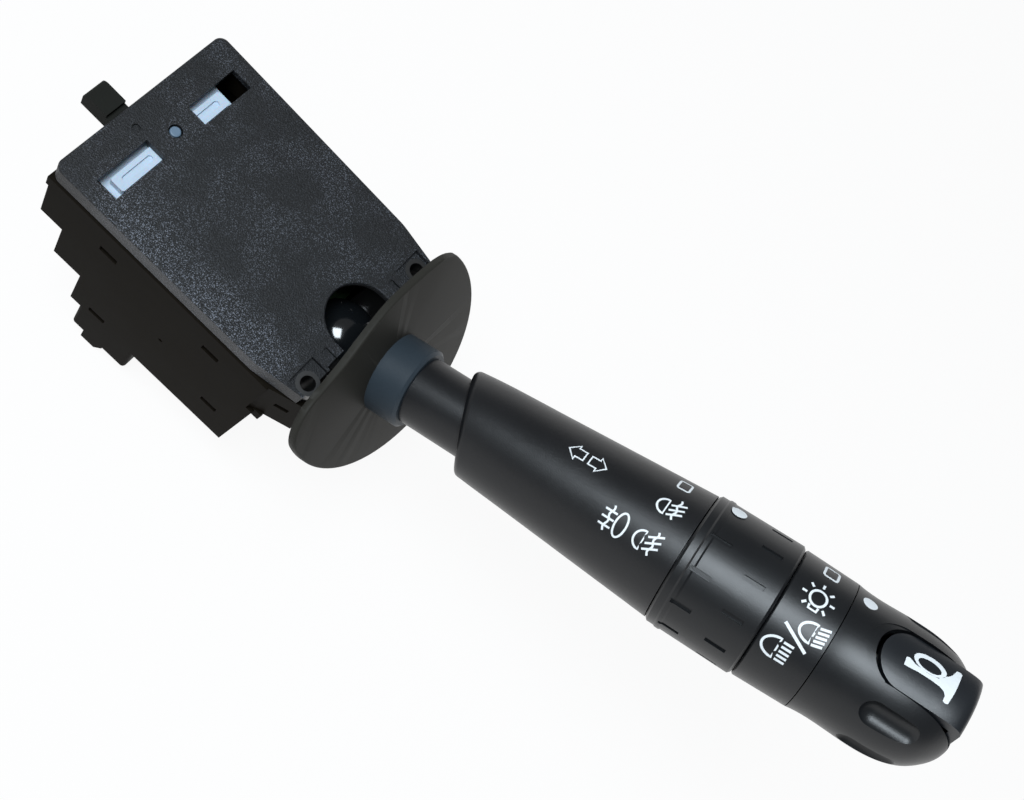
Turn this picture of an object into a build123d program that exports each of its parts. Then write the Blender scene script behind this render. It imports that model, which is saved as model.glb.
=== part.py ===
"""Combination stalk switch: a column switch whose stalk turns, pulls, twists and presses.

Frame: millimetres, +Z out of the cover, +X toward the stalk, +Y across.  The origin is the
midpoint between the two fixing-screw seats.  Stalk pieces are drawn in a frame of their own:
x = U (across), y = W (up), z = A (out along the stalk), with the lever's ball at its origin.
"""
import os
from math import cos, radians, sin

from build123d import *

# ---- clearances -------------------------------------------------------------------------
RUN_FIT = 0.05          # radial, a pin or shaft that turns in its bore
SLIDE_FIT = 0.08        # radial, a ring or plunger that slides
PRESS_FIT = 0.01        # radial, a piece pushed home for good
SEAT_GAP = 0.1          # between fixed mouldings that meet
FREE_GAP = 0.3          # between pieces that pass each other

# ---- fixing screws ----------------------------------------------------------------------
SCREW_SPACING_Y = 35.72
SCREW_BORE_R = 1.65
SCREW_TO_SIDE = 4.84    # from a screw's axis to the case's side
BUSH_R = 2.6
BUSH_LENGTH = 10.0
SCREW_EXIT_R = 2.0
SEAT_DEPTH = 1.0        # screw seats lie this far under the cover's face

# ---- lower case -------------------------------------------------------------------------
CASE_HALF_WIDTH = SCREW_SPACING_Y / 2 + SCREW_TO_SIDE
CASE_WALL = 2.0
CASE_TOP = -4.3
CASE_REAR_X = -61.6
CASE_CORNER_X = -4.5    # the front cheeks start here
CHEEK_TOP_X = 2.6       # they lean forward and inward on the way down
CHEEK_TOP_Y = CASE_HALF_WIDTH - 2.1
CHEEK_FLOOR_X = 5.4
CHEEK_FLOOR_Y = CASE_HALF_WIDTH - 3.5
CHEEK_SIDE_DRAFT = 0.6
CHEEK_SLOT_X = 0.4
CHEEK_SLOT_Z = -12.0
CHEEK_SLOT_LENGTH = 3.2
CHEEK_SLOT_HEIGHT = 2.0
CHEEK_SLOT_DEPTH = 1.4
UPPER_FLOOR_Z = -22.0
MID_REAR_X = CASE_REAR_X + 5.7
MID_FRONT_X = -2.8
MID_FLOOR_Z = -35.3
DEEP_REAR_X = MID_REAR_X + 7.4
DEEP_FLOOR_Z = -50.2
DEEP_INNER_HALF = CASE_HALF_WIDTH - CASE_WALL - 0.7
LUG_REAR_X = -3.4       # lug under each cheek
LUG_FRONT_X = -0.9
LUG_DEPTH = 2.4
BEAD_PROUD = 0.4
BEAD_BOTTOM = -8.0
BEAD_FRONT_X = -4.6
LIP_THICK = 1.2
WINDOW_WIDTH = 4.4
WINDOW_HEIGHT = 2.0
POCKET_DEPTH = 1.0
POCKET_REAR_X = DEEP_REAR_X + 7.2
POCKET_REAR_Z = -47.3
POCKET_FRONT_X = -10.2
POCKET_FRONT_Z = -37.8
PINHOLE_X = -26.9
PINHOLE_Z = -29.1
PINHOLE_R = 0.55
NOSE_FRONT_X = 4.0      # cradle under the ball that carries the yoke's trunnion
NOSE_WALL = 1.6
NOSE_FLOOR_TOP = -27.0
NOSE_FLOOR_THICK = 2.0
TRUNNION_BOSS_R = 6.0
TRUNNION_BOSS_BOTTOM = -33.0
CAM_POST_R = 2.4
CAM_POST_TOP = -7.7

# ---- lever pivot and yoke ---------------------------------------------------------------
PIVOT_X = -1.4
PIVOT_Z = -13.87
STALK_PITCH = 28.16     # degrees up from the cover plane
STALK_YAW = 0.63        # degrees of rest offset across
BALL_R = 8.5
LEVER_PIN_R = 2.0
CHEEK_INNER_Y = BALL_R + 0.4
CHEEK_OUTER_Y = CHEEK_INNER_Y + 2.5
CHEEK_HALF_X = 3.5
CHEEK_TOP_Z = -1.2
YOKE_BASE_TOP = -24.0
YOKE_BASE_BOTTOM = -26.4
TRUNNION_R = 3.0
TRUNNION_BOTTOM = -32.3
BUSHING_R = 4.4
BUSHING_FLANGE_R = 5.4
BUSHING_FLANGE_THICK = 0.5
FRONT_OPENING_HALF = CHEEK_OUTER_Y + 1.4

# ---- cover ------------------------------------------------------------------------------
COVER_TOP = SEAT_DEPTH
COVER_SKIN = 1.5
COVER_UNDER = COVER_TOP - COVER_SKIN
COVER_HALF_WIDTH = CASE_HALF_WIDTH + 0.2
COVER_REAR_X = CASE_REAR_X - 0.1
COVER_TAPER_X = -9.9    # the sides draw in from here to the front corners
COVER_CORNER_X = 1.2
COVER_CORNER_Y = COVER_HALF_WIDTH - 1.7
COVER_FRONT_X = 0.5
COVER_REAR_CORNER_R = 2.0
SKIRT_DEPTH = 4.5
SKIRT_THICK = 1.6
BALL_NOTCH_R = 7.6      # half-round in the front edge, over the ball
SEAT_REAR_X = -3.1      # rectangular recess round each screw
SEAT_INNER_Y = FRONT_OPENING_HALF + 0.7
SEAT_OUTER_Y = COVER_CORNER_Y - 0.5
SIDE_NOTCH_Y = 10.75    # small notches beside the half-round
SIDE_NOTCH_LENGTH = 2.5
SIDE_NOTCH_WIDTH = 1.65
SIDE_NOTCH_DEPTH = 0.6
LATCH_X_REAR = COVER_REAR_X + 16.6      # snap legs, one pair near each end
LATCH_X_FRONT = -17.5
LATCH_WIDTH = 3.6
LATCH_THICK = 1.3
LATCH_Z = -13.8
LATCH_HOOK = 1.7

# ---- cancelling gear --------------------------------------------------------------------
CAM_PIN_X = COVER_REAR_X + 9.06
CAM_PIN_R = 1.15
CAM_PIN_HOLE_R = 1.45
CAM_PIN_TOP = 0.9
SLOT_REAR_X = CAM_PIN_X - 2.16          # openings over the slide's two pads
SLOT_FRONT_X = CAM_PIN_X + 2.71
SLOT_INNER_Y = 5.68
SLOT_OUTER_Y = 19.05
DIMPLE_X = COVER_REAR_X + 4.0
DIMPLE_Y = -5.6
DIMPLE_R = 0.9
SLIDE_REST_Y = -1.1     # the slide rests off centre
SLIDE_HALF_LENGTH = 16.3
SLIDE_REAR_X = CAM_PIN_X - 2.56
SLIDE_FRONT_X = CAM_PIN_X + 3.24
SLIDE_BASE_THICK = 1.8
PAD_THICK = 1.8
PAD_REAR_X = CAM_PIN_X - 1.16
PAD_FRONT_X = CAM_PIN_X + 2.24
PAD_INNER = 3.8
PAD_OUTER = 15.1
PAD_CORNER_R = 0.6
PAD_DISH_DEPTH = 0.5
PAD_DISH_WIDTH = 1.3
PAD_RIM = 1.7           # from the dish's end to the pad's end
SLIDE_SLOT_HALF_Y = 3.35
SLIDE_SLOT_HALF_X = 1.35
FINGER_TIP_X = COVER_REAR_X - 7.1
FINGER_TAB_GAP = 1.3    # behind the cover, so that the finger can swing
FINGER_INNER_Y = -2.65
FINGER_OUTER_Y = -7.8
FINGER_TAB_TOP = 0.2
FINGER_TAB_R = 1.4
FINGER_ARM_TOP = -0.9
FINGER_ARM_BOTTOM = -4.2
FINGER_ROOT_TOP = -4.8
FINGER_ROOT_BOTTOM = -7.2
FINGER_HUB_R = 3.4
FINGER_STEP_X = CAM_PIN_X - 3.56
FINGER_RISER = 2.2
FINGER_ROOM = 1.9       # each side of the finger, in the case and the cover
FINGER_SPRING_R = 3.1
FINGER_SPRING_HIGH = 1.9
FINGER_WIRE_R = 0.3
FINGER_TURNS = 2

# ---- connector --------------------------------------------------------------------------
SHROUD_REAR_X = DEEP_REAR_X + 2.6
SHROUD_LENGTH = 16.0
SHROUD_FRONT_X = SHROUD_REAR_X + SHROUD_LENGTH
SHROUD_FAR_Y = 6.0
SHROUD_MOUTH_Z = DEEP_FLOOR_Z - 12.1
SHROUD_WALL = 1.6
SHROUD_ROOF = 2.0
SHROUD_CORNER_R = 1.0
TONGUE_REAR_X = SHROUD_REAR_X + 3.6
TONGUE_FRONT_X = SHROUD_REAR_X + 9.4
TONGUE_LENGTH = 4.5
TONGUE_SLANT = 1.8
BLADE_WIDTH = 2.8
BLADE_THICK = 0.8
BLADE_PITCH = 3.7
BLADES_PER_ROW = 6
BLADE_ROW_GAP = 6.0
BLADE_TIP_Z = SHROUD_MOUTH_Z + 5.3

# ---- contact board ----------------------------------------------------------------------
BOARD_THICK = 1.6
BOARD_TOP_Z = -31.7
BOARD_HALF_WIDTH = CASE_HALF_WIDTH - CASE_WALL - 0.2
BOARD_FRONT_X = -5.4
TRACK_THICK = 0.1
TRACK_COUNT = 3
TRACK_PITCH = 2.4
TRACK_WIDTH = 1.2
TRACK_LENGTH = 26.0
BOARD_SCREW_R = 1.2
BOARD_SCREW_HEAD_R = 2.2
BOARD_SCREW_DEPTH = 1.8 # below the board
BOARD_SCREW_X = MID_REAR_X + 5.7
BOARD_SCREW_Y = 15.0

# ---- tail, plunger and detent -----------------------------------------------------------
TAIL_R = 4.0
TAIL_END_S = -24.0
PLUNGER_R = 2.5
PLUNGER_TIP_S = -27.2
PLUNGER_HEAD_S = -18.0
TAIL_BORE_END_S = -10.0
DETENT_SPRING_R = 1.9
DETENT_WIRE_R = 0.25
DETENT_TURNS = 4
CAM_REAR_X = -36.0
CAM_FRONT_X = -24.6
CAM_HALF_WIDTH = 9.0
CAM_TOP_Z = -17.0
CAM_CORNER_R = 2.0

# ---- contact carrier --------------------------------------------------------------------
CARRIER_REAR_X = -17.5
CARRIER_FRONT_X = -10.0
CARRIER_HALF_WIDTH = 7.5
CARRIER_TOP_Z = -29.2
CARRIER_LIFT = 0.3      # under the carrier, over the board
PRONG_X = -14.7
PRONG_LENGTH = 3.6
PRONG_GAP_HALF = 4.7
PRONG_THICK = 1.6
PRONG_TOP_Z = -15.5
CONTACT_HALF_LENGTH = 3.0
CONTACT_HIGH = 1.0

# ---- shield -----------------------------------------------------------------------------
SHIELD_FRONT_S = 14.47
SHIELD_THICK = 1.6
SHIELD_CENTRE_W = 3.75
SHIELD_LONG = 38.9
SHIELD_SHORT = 26.3
SHIELD_ROLL = -56.1
SHIELD_CROWN = 22.9     # height of the crowned top edge on the centre line
SHIELD_LEFT_U = -28.0   # the crown falls away to each side
SHIELD_LEFT_W = 18.2
SHIELD_BEND_U = -12.7
SHIELD_BEND_W = 20.2
SHIELD_RIGHT_U = 20.0
SHIELD_RIGHT_W = 19.6
SHIELD_LEFT_R = 8.0
SHIELD_RIGHT_R = 4.0
SHIELD_EDGE_R = 0.5

# ---- stalk ------------------------------------------------------------------------------
NECK_R = 6.0
NECK_END_S = 16.4
TUBE_R = 5.0
TUBE_BORE_R = 3.5
TUBE_START_S = 10.0
TUBE_END_S = 124.3
LEAD_WIDTH = 4.0
LEAD_THICK = 0.5
LEAD_END_S = 90.0
COLLAR_R = 9.2
COLLAR_END_S = 22.2
COLLAR_EDGE = 0.6
SLEEVE_NECK_R = 7.7
SHOULDER_S = 33.7       # where the skewed shoulder crosses the top of the sleeve
SHOULDER_SLOPE = 0.44   # how far it leans along the sleeve, per mm across
SHOULDER_EDGE_R = 1.5
SLEEVE_START_R = 9.7
SLEEVE_START_S = 28.0
SLEEVE_FLARE_R = 10.76
SLEEVE_FLARE_S = 37.0
SLEEVE_WAIST_R = 11.4
SLEEVE_WAIST_S = 46.6
SLEEVE_MID_R = 12.6
SLEEVE_MID_S = 65.6
SLEEVE_END_R = 13.9
SLEEVE_END_S = 86.17
SLEEVE_BORE_R = 9.4
SLEEVE_BORE_S = 48.0
SEAM = 0.25
DRUM_R = 11.0
DRUM_WALL = 1.6
DRUM_SPIGOT_LENGTH = 4.17
DRUM_FLOOR = 3.0
RING_START_S = SLEEVE_END_S + SEAM
RING_LENGTH = 19.0
RING_END_S = RING_START_S + RING_LENGTH
RING_R = 14.35
RING_RIB_R = 14.55
RING_RIB_S = RING_START_S + 2.78
RING_RIB_HALF = 0.8
RING_EDGE = 0.5
GROOVE_LENGTH = 4.4
GROOVE_WIDTH = 1.0
GROOVE_DEPTH = 0.6
GROOVE_COUNT = 12
GROOVE_SKIPPED = 11      # the first row leaves this place smooth for the ring's mark
GROOVE_ROW_ONE_S = RING_START_S + 4.88
GROOVE_ROW_TWO_S = RING_START_S + 13.88
WIPER_PROUD = 0.9       # the wiper's arc stands off the drum's track
WIPER_THICK = 0.55
WIPER_WIDTH = 14.0
BAND_START_S = RING_END_S + SEAM
BAND_LENGTH = 11.33
BAND_END_S = BAND_START_S + BAND_LENGTH
BAND_START_R = 14.0
BAND_END_R = 13.62
BAND_EDGE = 0.3
BAND_WALL = 2.0
SPIGOT_R = 9.0
SPIGOT_LENGTH = 8.0
SPIGOT_END_S = BAND_END_S + SPIGOT_LENGTH
CAP_START_S = BAND_END_S + 0.2
CAP_START_R = 13.6
CAP_ROLL = -1.6         # degrees that the cap rests round from the top
CAP_BODY_S = CAP_START_S + 10.3
CAP_BODY_R = 13.3
CAP_HIP_S = CAP_START_S + 20.1
CAP_HIP_R = 12.4
CAP_BEND_S = CAP_START_S + 22.8
CAP_BEND_R = 11.25
CAP_DOME_S = CAP_START_S + 25.3
CAP_DOME_R = 9.3
CAP_CROWN_S = CAP_START_S + 27.1
CAP_CROWN_R = 7.1
CAP_END_S = CAP_START_S + 27.9
CAP_END_R = 4.5
CAP_FACE_THICK = 2.0
CAP_BORE_R = 11.2
CAP_WALL_S = CAP_START_S + 9.2          # cross wall that carries the spindle and the guide
CAP_WALL_THICK = 2.0
FLUTE_R = 3.0
FLUTE_AXIS_R = 14.5
FLUTE_START_S = CAP_START_S + 12.8
FLUTE_END_S = CAP_START_S + 19.6
FLUTE_FIRST = 53.2      # degrees round from the button
FLUTE_STEP = 46.0
FLUTES_PER_SIDE = 3
SPINDLE_R = 2.4
SPINDLE_START_S = RING_END_S - 12.4
SPINDLE_HEAD_R = 4.2
SPINDLE_HEAD_THICK = 0.8

# ---- horn button ------------------------------------------------------------------------
HORN_HALF_WIDTH = 5.6
HORN_SIDE_GAP = 0.4
HORN_APEX_S = CAP_START_S + 8.0
HORN_TRAVEL = 0.7
HORN_START_R = 13.2
HORN_BODY_R = 12.95
HORN_HIP_R = 12.55
HORN_BEND_S = CAP_HIP_S + 4.2
HORN_BEND_R = 12.25
HORN_RIM_S = CAP_HIP_S + 6.2
HORN_RIM_R = 11.6
HORN_END_S = CAP_HIP_S + 6.9
HORN_END_R = 10.5
HORN_FACE_THICK = 2.0
HORN_PLATE_THICK = 1.8
HORN_FLOOR_W = 1.4
HORN_RECESS_APEX_S = CAP_START_S + 5.1
HORN_RECESS_DEPTH = 0.45
STEM_W = 5.0
STEM_R = 2.0
STEM_INNER_S = CAP_WALL_S + 3.6
GUIDE_R = 2.3
GUIDE_END_S = CAP_WALL_S + 6.6
HORN_SPRING_R = 2.75
HORN_WIRE_R = 0.25
HORN_TURNS = 3
HORN_CONTACT_THICK = 0.4

# ---- stalk frame ------------------------------------------------------------------------
_P, _Y = radians(STALK_PITCH), radians(STALK_YAW)
AXIS_A = Vector(cos(_P) * cos(_Y), cos(_P) * sin(_Y), sin(_P))
AXIS_U = Vector(-sin(_Y), cos(_Y), 0)
PIVOT = Vector(PIVOT_X, 0, PIVOT_Z)
STALK = Plane(origin=PIVOT, x_dir=AXIS_U, z_dir=AXIS_A)


def block(x0, x1, y0, y1, z0, z1):
    """Box between two corners."""
    x0, x1 = sorted((x0, x1))
    y0, y1 = sorted((y0, y1))
    z0, z1 = sorted((z0, z1))
    return Pos((x0 + x1) / 2, (y0 + y1) / 2, (z0 + z1) / 2) * Box(x1 - x0, y1 - y0, z1 - z0)


def rod(x, y, z0, z1, r):
    """Upright cylinder between two heights."""
    return Pos(x, y, (z0 + z1) / 2) * Cylinder(r, abs(z1 - z0))


def prism(points, z0, z1):
    """Upright prism over a plan outline."""
    face = make_face(Polyline(*points, close=True))
    return Pos(0, 0, min(z0, z1)) * extrude(face, abs(z1 - z0))


def side_prism(points, y0, y1):
    """Prism across Y over an outline in X and Z."""
    face = make_face(Polyline(*[(x, 0, z) for x, z in points], close=True))
    return Pos(0, min(y0, y1), 0) * extrude(face, abs(y1 - y0), dir=(0, 1, 0))


def front_prism(points, x0, x1):
    """Prism along X over an outline in Y and Z."""
    face = make_face(Polyline(*[(0, y, z) for y, z in points], close=True))
    return Pos(min(x0, x1), 0, 0) * extrude(face, abs(x1 - x0), dir=(1, 0, 0))


def turned(points):
    """Solid of revolution about local Z from straight (radius, station) steps."""
    face = make_face(Polyline(*[(r, 0, s) for r, s in points], close=True))
    return revolve(face, Axis.Z)


def turned_smooth(curve, inner_r):
    """Revolved shell whose outer side is one smooth curve of (radius, station) points."""
    first, last = curve[0], curve[-1]
    outer = Spline(*[(r, 0, s) for r, s in curve])
    rest = Polyline((last[0], 0, last[1]), (inner_r, 0, last[1]), (inner_r, 0, first[1]),
                    (first[0], 0, first[1]))
    return revolve(make_face([outer, rest]), Axis.Z)


def tube(r_out, r_in, s0, s1):
    """Plain tube along local Z."""
    return turned([(r_in, s0), (r_out, s0), (r_out, s1), (r_in, s1)])


def shaft(r, s0, s1):
    """Solid cylinder along local Z."""
    return Pos(0, 0, (s0 + s1) / 2) * Cylinder(r, abs(s1 - s0))


def coil(radius, wire_r, z0, z1, turns):
    """Open helical spring along local Z, of square wire."""
    pitch = (z1 - z0) / turns
    path = Helix(pitch, z1 - z0, radius)
    ring = Plane(origin=path @ 0, z_dir=path % 0) * RegularPolygon(wire_r, 4)
    return Pos(0, 0, z0) * sweep(ring, path=path, is_frenet=True)


def on_stalk(shape):
    """Carry a shape from the stalk frame into the part's frame."""
    return shape.moved(STALK.location)


def on_cap(shape):
    """Carry a shape from the stalk frame into the part's frame, turned as the cap rests."""
    return on_stalk(Rot(0, 0, CAP_ROLL) * shape)


def soften(shape, edges, radius):
    """Round edges, at a smaller radius where the full one can't be made."""
    for r in (radius, radius * 0.6, radius * 0.3):
        try:
            done = shape.fillet(r, edges)
            if done.is_valid:
                return done
        except Exception:
            continue
    return shape


def joined(shapes):
    """One solid from several."""
    whole = None
    for shape in shapes:
        whole = shape if whole is None else whole + shape
    return whole


# ---- cover and screws -------------------------------------------------------------------
def cover_outline(inset):
    """Plan outline of the cover, drawn in by an inset."""
    rear, half = COVER_REAR_X + inset, COVER_HALF_WIDTH - inset
    corner_y = COVER_CORNER_Y - inset
    corner_x = COVER_CORNER_X - inset
    return [(rear, -half), (COVER_TAPER_X, -half), (corner_x, -corner_y), (corner_x, corner_y),
            (COVER_TAPER_X, half), (rear, half)]


def cover_shell():
    """Lid with its skirt, open in front."""
    skirt_bottom = COVER_TOP - SKIRT_DEPTH
    below, above, ahead = skirt_bottom - 1, COVER_TOP + 1, COVER_CORNER_X + 1
    body = prism(cover_outline(0), skirt_bottom, COVER_TOP)
    rear_corners = body.edges().filter_by(Axis.Z).group_by(Axis.X)[0]
    body = soften(body, rear_corners, COVER_REAR_CORNER_R)
    body -= prism(cover_outline(SKIRT_THICK), below, COVER_UNDER)
    half = FRONT_OPENING_HALF
    body -= block(COVER_FRONT_X, ahead, -half, half, below, above)
    body -= block(SEAT_REAR_X - SKIRT_THICK, ahead, -half, half, below, COVER_UNDER)
    body -= rod(PIVOT_X, 0, COVER_UNDER - 1, above, BALL_NOTCH_R)
    return body - block(PIVOT_X, ahead, -BALL_NOTCH_R, BALL_NOTCH_R, COVER_UNDER - 1, above)


def cover_side(body, side):
    """Screw seat, small notch, slide opening and latches of one half of the cover."""
    ahead, above = COVER_CORNER_X + 1, COVER_TOP + 1
    body += block(SEAT_REAR_X - 1, COVER_CORNER_X - 0.2, side * (SEAT_INNER_Y - 0.6),
                  side * SEAT_OUTER_Y, -COVER_SKIN, COVER_TOP)
    body -= block(SEAT_REAR_X, ahead, side * SEAT_INNER_Y, side * SEAT_OUTER_Y, 0, above)
    body -= rod(0, side * SCREW_SPACING_Y / 2, -COVER_SKIN - 3, 1, BUSH_R + PRESS_FIT)
    body -= block(-SIDE_NOTCH_LENGTH, ahead, side * (SIDE_NOTCH_Y - SIDE_NOTCH_WIDTH / 2),
                  side * (SIDE_NOTCH_Y + SIDE_NOTCH_WIDTH / 2), COVER_TOP - SIDE_NOTCH_DEPTH, above)
    body -= block(SLOT_REAR_X, SLOT_FRONT_X, side * SLOT_INNER_Y, side * SLOT_OUTER_Y,
                  COVER_UNDER - 1, above)
    for x in (LATCH_X_REAR, LATCH_X_FRONT):
        body += latch(x, side)
    return body


def cover():
    body = cover_shell()
    for side in (-1, 1):
        body = cover_side(body, side)
    above = COVER_TOP + 1
    body -= rod(CAM_PIN_X, 0, COVER_UNDER - 1, above, CAM_PIN_HOLE_R)
    body -= rod(DIMPLE_X, DIMPLE_Y, COVER_TOP - SEAT_DEPTH / 2, above, DIMPLE_R)
    body -= block(COVER_REAR_X - 1, COVER_REAR_X + SKIRT_THICK + SEAT_GAP, FINGER_OUTER_Y - FINGER_ROOM,
                  FINGER_INNER_Y + FINGER_ROOM, COVER_TOP - SKIRT_DEPTH - 1, COVER_UNDER)
    top = body.edges().group_by(Axis.Z)[-1]
    long_edges = [e for e in top if e.length > COVER_HALF_WIDTH * 0.85]
    return soften(body, long_edges, 0.4)


def latch(x, side):
    """Snap leg that hangs from the cover and hooks into a window in the case."""
    inner = CASE_HALF_WIDTH - CASE_WALL - LIP_THICK - LATCH_THICK + 0.3
    outer = inner + LATCH_THICK
    tip = outer + LATCH_HOOK
    leg = [(inner, LATCH_Z - 0.7), (outer, LATCH_Z - 0.7), (tip, LATCH_Z + 0.2), (tip, LATCH_Z + 0.7),
           (outer, LATCH_Z + 0.7), (outer, COVER_UNDER + 0.5), (inner, COVER_UNDER + 0.5)]
    return front_prism([(side * y, z) for y, z in leg], x - LATCH_WIDTH / 2, x + LATCH_WIDTH / 2)


def screw_bushes():
    ring = rod(0, 0, -BUSH_LENGTH, 0, BUSH_R) - rod(0, 0, -BUSH_LENGTH - 1, 1, SCREW_BORE_R)
    return joined(Pos(0, side * SCREW_SPACING_Y / 2, 0) * ring for side in (-1, 1))


# ---- lower case -------------------------------------------------------------------------
def case_profile():
    """Stepped side outline of the case."""
    return [(CASE_REAR_X, CASE_TOP), (CASE_REAR_X, UPPER_FLOOR_Z), (MID_REAR_X, UPPER_FLOOR_Z),
            (MID_REAR_X, MID_FLOOR_Z), (DEEP_REAR_X, MID_FLOOR_Z), (DEEP_REAR_X, DEEP_FLOOR_Z),
            (MID_FRONT_X, DEEP_FLOOR_Z), (MID_FRONT_X, UPPER_FLOOR_Z),
            (CASE_CORNER_X, UPPER_FLOOR_Z), (CASE_CORNER_X, CASE_TOP)]


def room_profile():
    """Side outline of the room inside, down to the mid floor."""
    wall = CASE_WALL
    return [(CASE_REAR_X + wall, BEAD_BOTTOM), (CASE_REAR_X + wall, UPPER_FLOOR_Z + wall),
            (MID_REAR_X + wall, UPPER_FLOOR_Z + wall), (MID_REAR_X + wall, MID_FLOOR_Z + wall),
            (MID_FRONT_X - wall, MID_FLOOR_Z + wall), (MID_FRONT_X - wall, BEAD_BOTTOM)]


def case_shell():
    """Stepped box with its bead and the lip that the cover slips over."""
    half = CASE_HALF_WIDTH
    body = side_prism(case_profile(), -half, half)
    bead = half + BEAD_PROUD
    rim = block(CASE_REAR_X - BEAD_PROUD, BEAD_FRONT_X, -bead, bead, BEAD_BOTTOM, CASE_TOP)
    body += soften(rim, rim.edges().group_by(Axis.Z)[-1], BEAD_PROUD * 0.9)
    lip_half = COVER_HALF_WIDTH - SKIRT_THICK - SEAT_GAP
    lip_rear = COVER_REAR_X + SKIRT_THICK + SEAT_GAP
    body += block(lip_rear, COVER_TAPER_X, -lip_half, lip_half, CASE_TOP - 1, COVER_UNDER - SEAT_GAP)
    inner = half - CASE_WALL
    body -= side_prism(room_profile(), -inner, inner)
    lip_inner = lip_half - LIP_THICK
    body -= block(lip_rear + LIP_THICK, CASE_CORNER_X, -lip_inner, lip_inner, BEAD_BOTTOM - 1, 1)
    body -= block(DEEP_REAR_X + CASE_WALL, MID_FRONT_X - CASE_WALL, -DEEP_INNER_HALF, DEEP_INNER_HALF,
                  DEEP_FLOOR_Z + CASE_WALL, MID_FLOOR_Z + CASE_WALL + 1)
    return body


def case_nose():
    """Cradle ahead of the mid wall, and the boss for the yoke's trunnion."""
    half = FRONT_OPENING_HALF + NOSE_WALL
    nose = block(MID_FRONT_X - CASE_WALL, NOSE_FRONT_X, -half, half,
                 NOSE_FLOOR_TOP - NOSE_FLOOR_THICK, UPPER_FLOOR_Z + CASE_WALL)
    nose = soften(nose, nose.edges().filter_by(Axis.Z).group_by(Axis.X)[-1], NOSE_FLOOR_THICK)
    return nose + rod(PIVOT_X, 0, TRUNNION_BOSS_BOTTOM, NOSE_FLOOR_TOP, TRUNNION_BOSS_R)


def case_cheek(side):
    """Column beside the ball's opening, leaning forward and inward toward its foot."""
    inner = SEAT_INNER_Y - 0.6
    top_y, floor_y = CASE_HALF_WIDTH, CASE_HALF_WIDTH - CHEEK_SIDE_DRAFT
    rear = CASE_CORNER_X - 0.5
    high = [(rear, inner), (CHEEK_TOP_X, inner), (CHEEK_TOP_X, CHEEK_TOP_Y), (CASE_CORNER_X, top_y),
            (rear, top_y)]
    low = [(rear, inner), (CHEEK_FLOOR_X, inner), (CHEEK_FLOOR_X, CHEEK_FLOOR_Y),
           (CASE_CORNER_X, floor_y), (rear, floor_y)]
    ends = [make_face(Polyline(*[(x, side * y, z) for x, y in ring], close=True))
            for ring, z in ((low, UPPER_FLOOR_Z), (high, CASE_TOP))]
    body = loft(ends)
    body += block(rear, COVER_CORNER_X - SKIRT_THICK - SEAT_GAP, side * (SEAT_INNER_Y - 0.3),
                  side * (COVER_CORNER_Y - SKIRT_THICK - 0.4), CASE_TOP - 1, -COVER_SKIN - SEAT_GAP)
    lug_y = CASE_HALF_WIDTH - CHEEK_SIDE_DRAFT - 0.1
    body += block(LUG_REAR_X, LUG_FRONT_X, side * (lug_y - CASE_WALL), side * lug_y,
                  UPPER_FLOOR_Z - LUG_DEPTH, UPPER_FLOOR_Z + 1)
    slot = Pos(CHEEK_SLOT_X, side * (CASE_HALF_WIDTH - 1.6), CHEEK_SLOT_Z) * Rot(0, 0, -side * 16)
    return body - slot * Box(CHEEK_SLOT_LENGTH, 2 * CHEEK_SLOT_DEPTH, CHEEK_SLOT_HEIGHT)


def case_side_cuts(side):
    """Latch windows, moulding pockets and a vent hole in one side wall."""
    half = CASE_HALF_WIDTH
    cuts = [block(x - WINDOW_WIDTH / 2, x + WINDOW_WIDTH / 2, side * (half - CASE_WALL - 1),
                  side * (half + 1), LATCH_Z - WINDOW_HEIGHT / 2, LATCH_Z + WINDOW_HEIGHT / 2)
            for x in (LATCH_X_REAR, LATCH_X_FRONT)]
    for x, z in ((POCKET_REAR_X, POCKET_REAR_Z), (POCKET_FRONT_X, POCKET_FRONT_Z)):
        cuts.append(block(x - WINDOW_WIDTH / 2, x + WINDOW_WIDTH / 2, side * (half - POCKET_DEPTH),
                          side * (half + 1), z - WINDOW_HEIGHT / 2, z + WINDOW_HEIGHT / 2))
    cuts.append(Pos(PINHOLE_X, side * half, PINHOLE_Z) * Rot(90, 0, 0) * Cylinder(PINHOLE_R, 6))
    return joined(cuts)


def case_bores(side):
    """Screw way and board-screw hole of one side."""
    y = side * SCREW_SPACING_Y / 2
    way = rod(0, y, -BUSH_LENGTH, 1, BUSH_R + PRESS_FIT)
    way += rod(0, y, UPPER_FLOOR_Z - 1, -BUSH_LENGTH + 1, SCREW_EXIT_R)
    return way + rod(BOARD_SCREW_X, side * BOARD_SCREW_Y, BOARD_TOP_Z - BOARD_THICK - BOARD_SCREW_DEPTH - 0.1,
                     BOARD_TOP_Z, BOARD_SCREW_R + PRESS_FIT)


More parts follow.
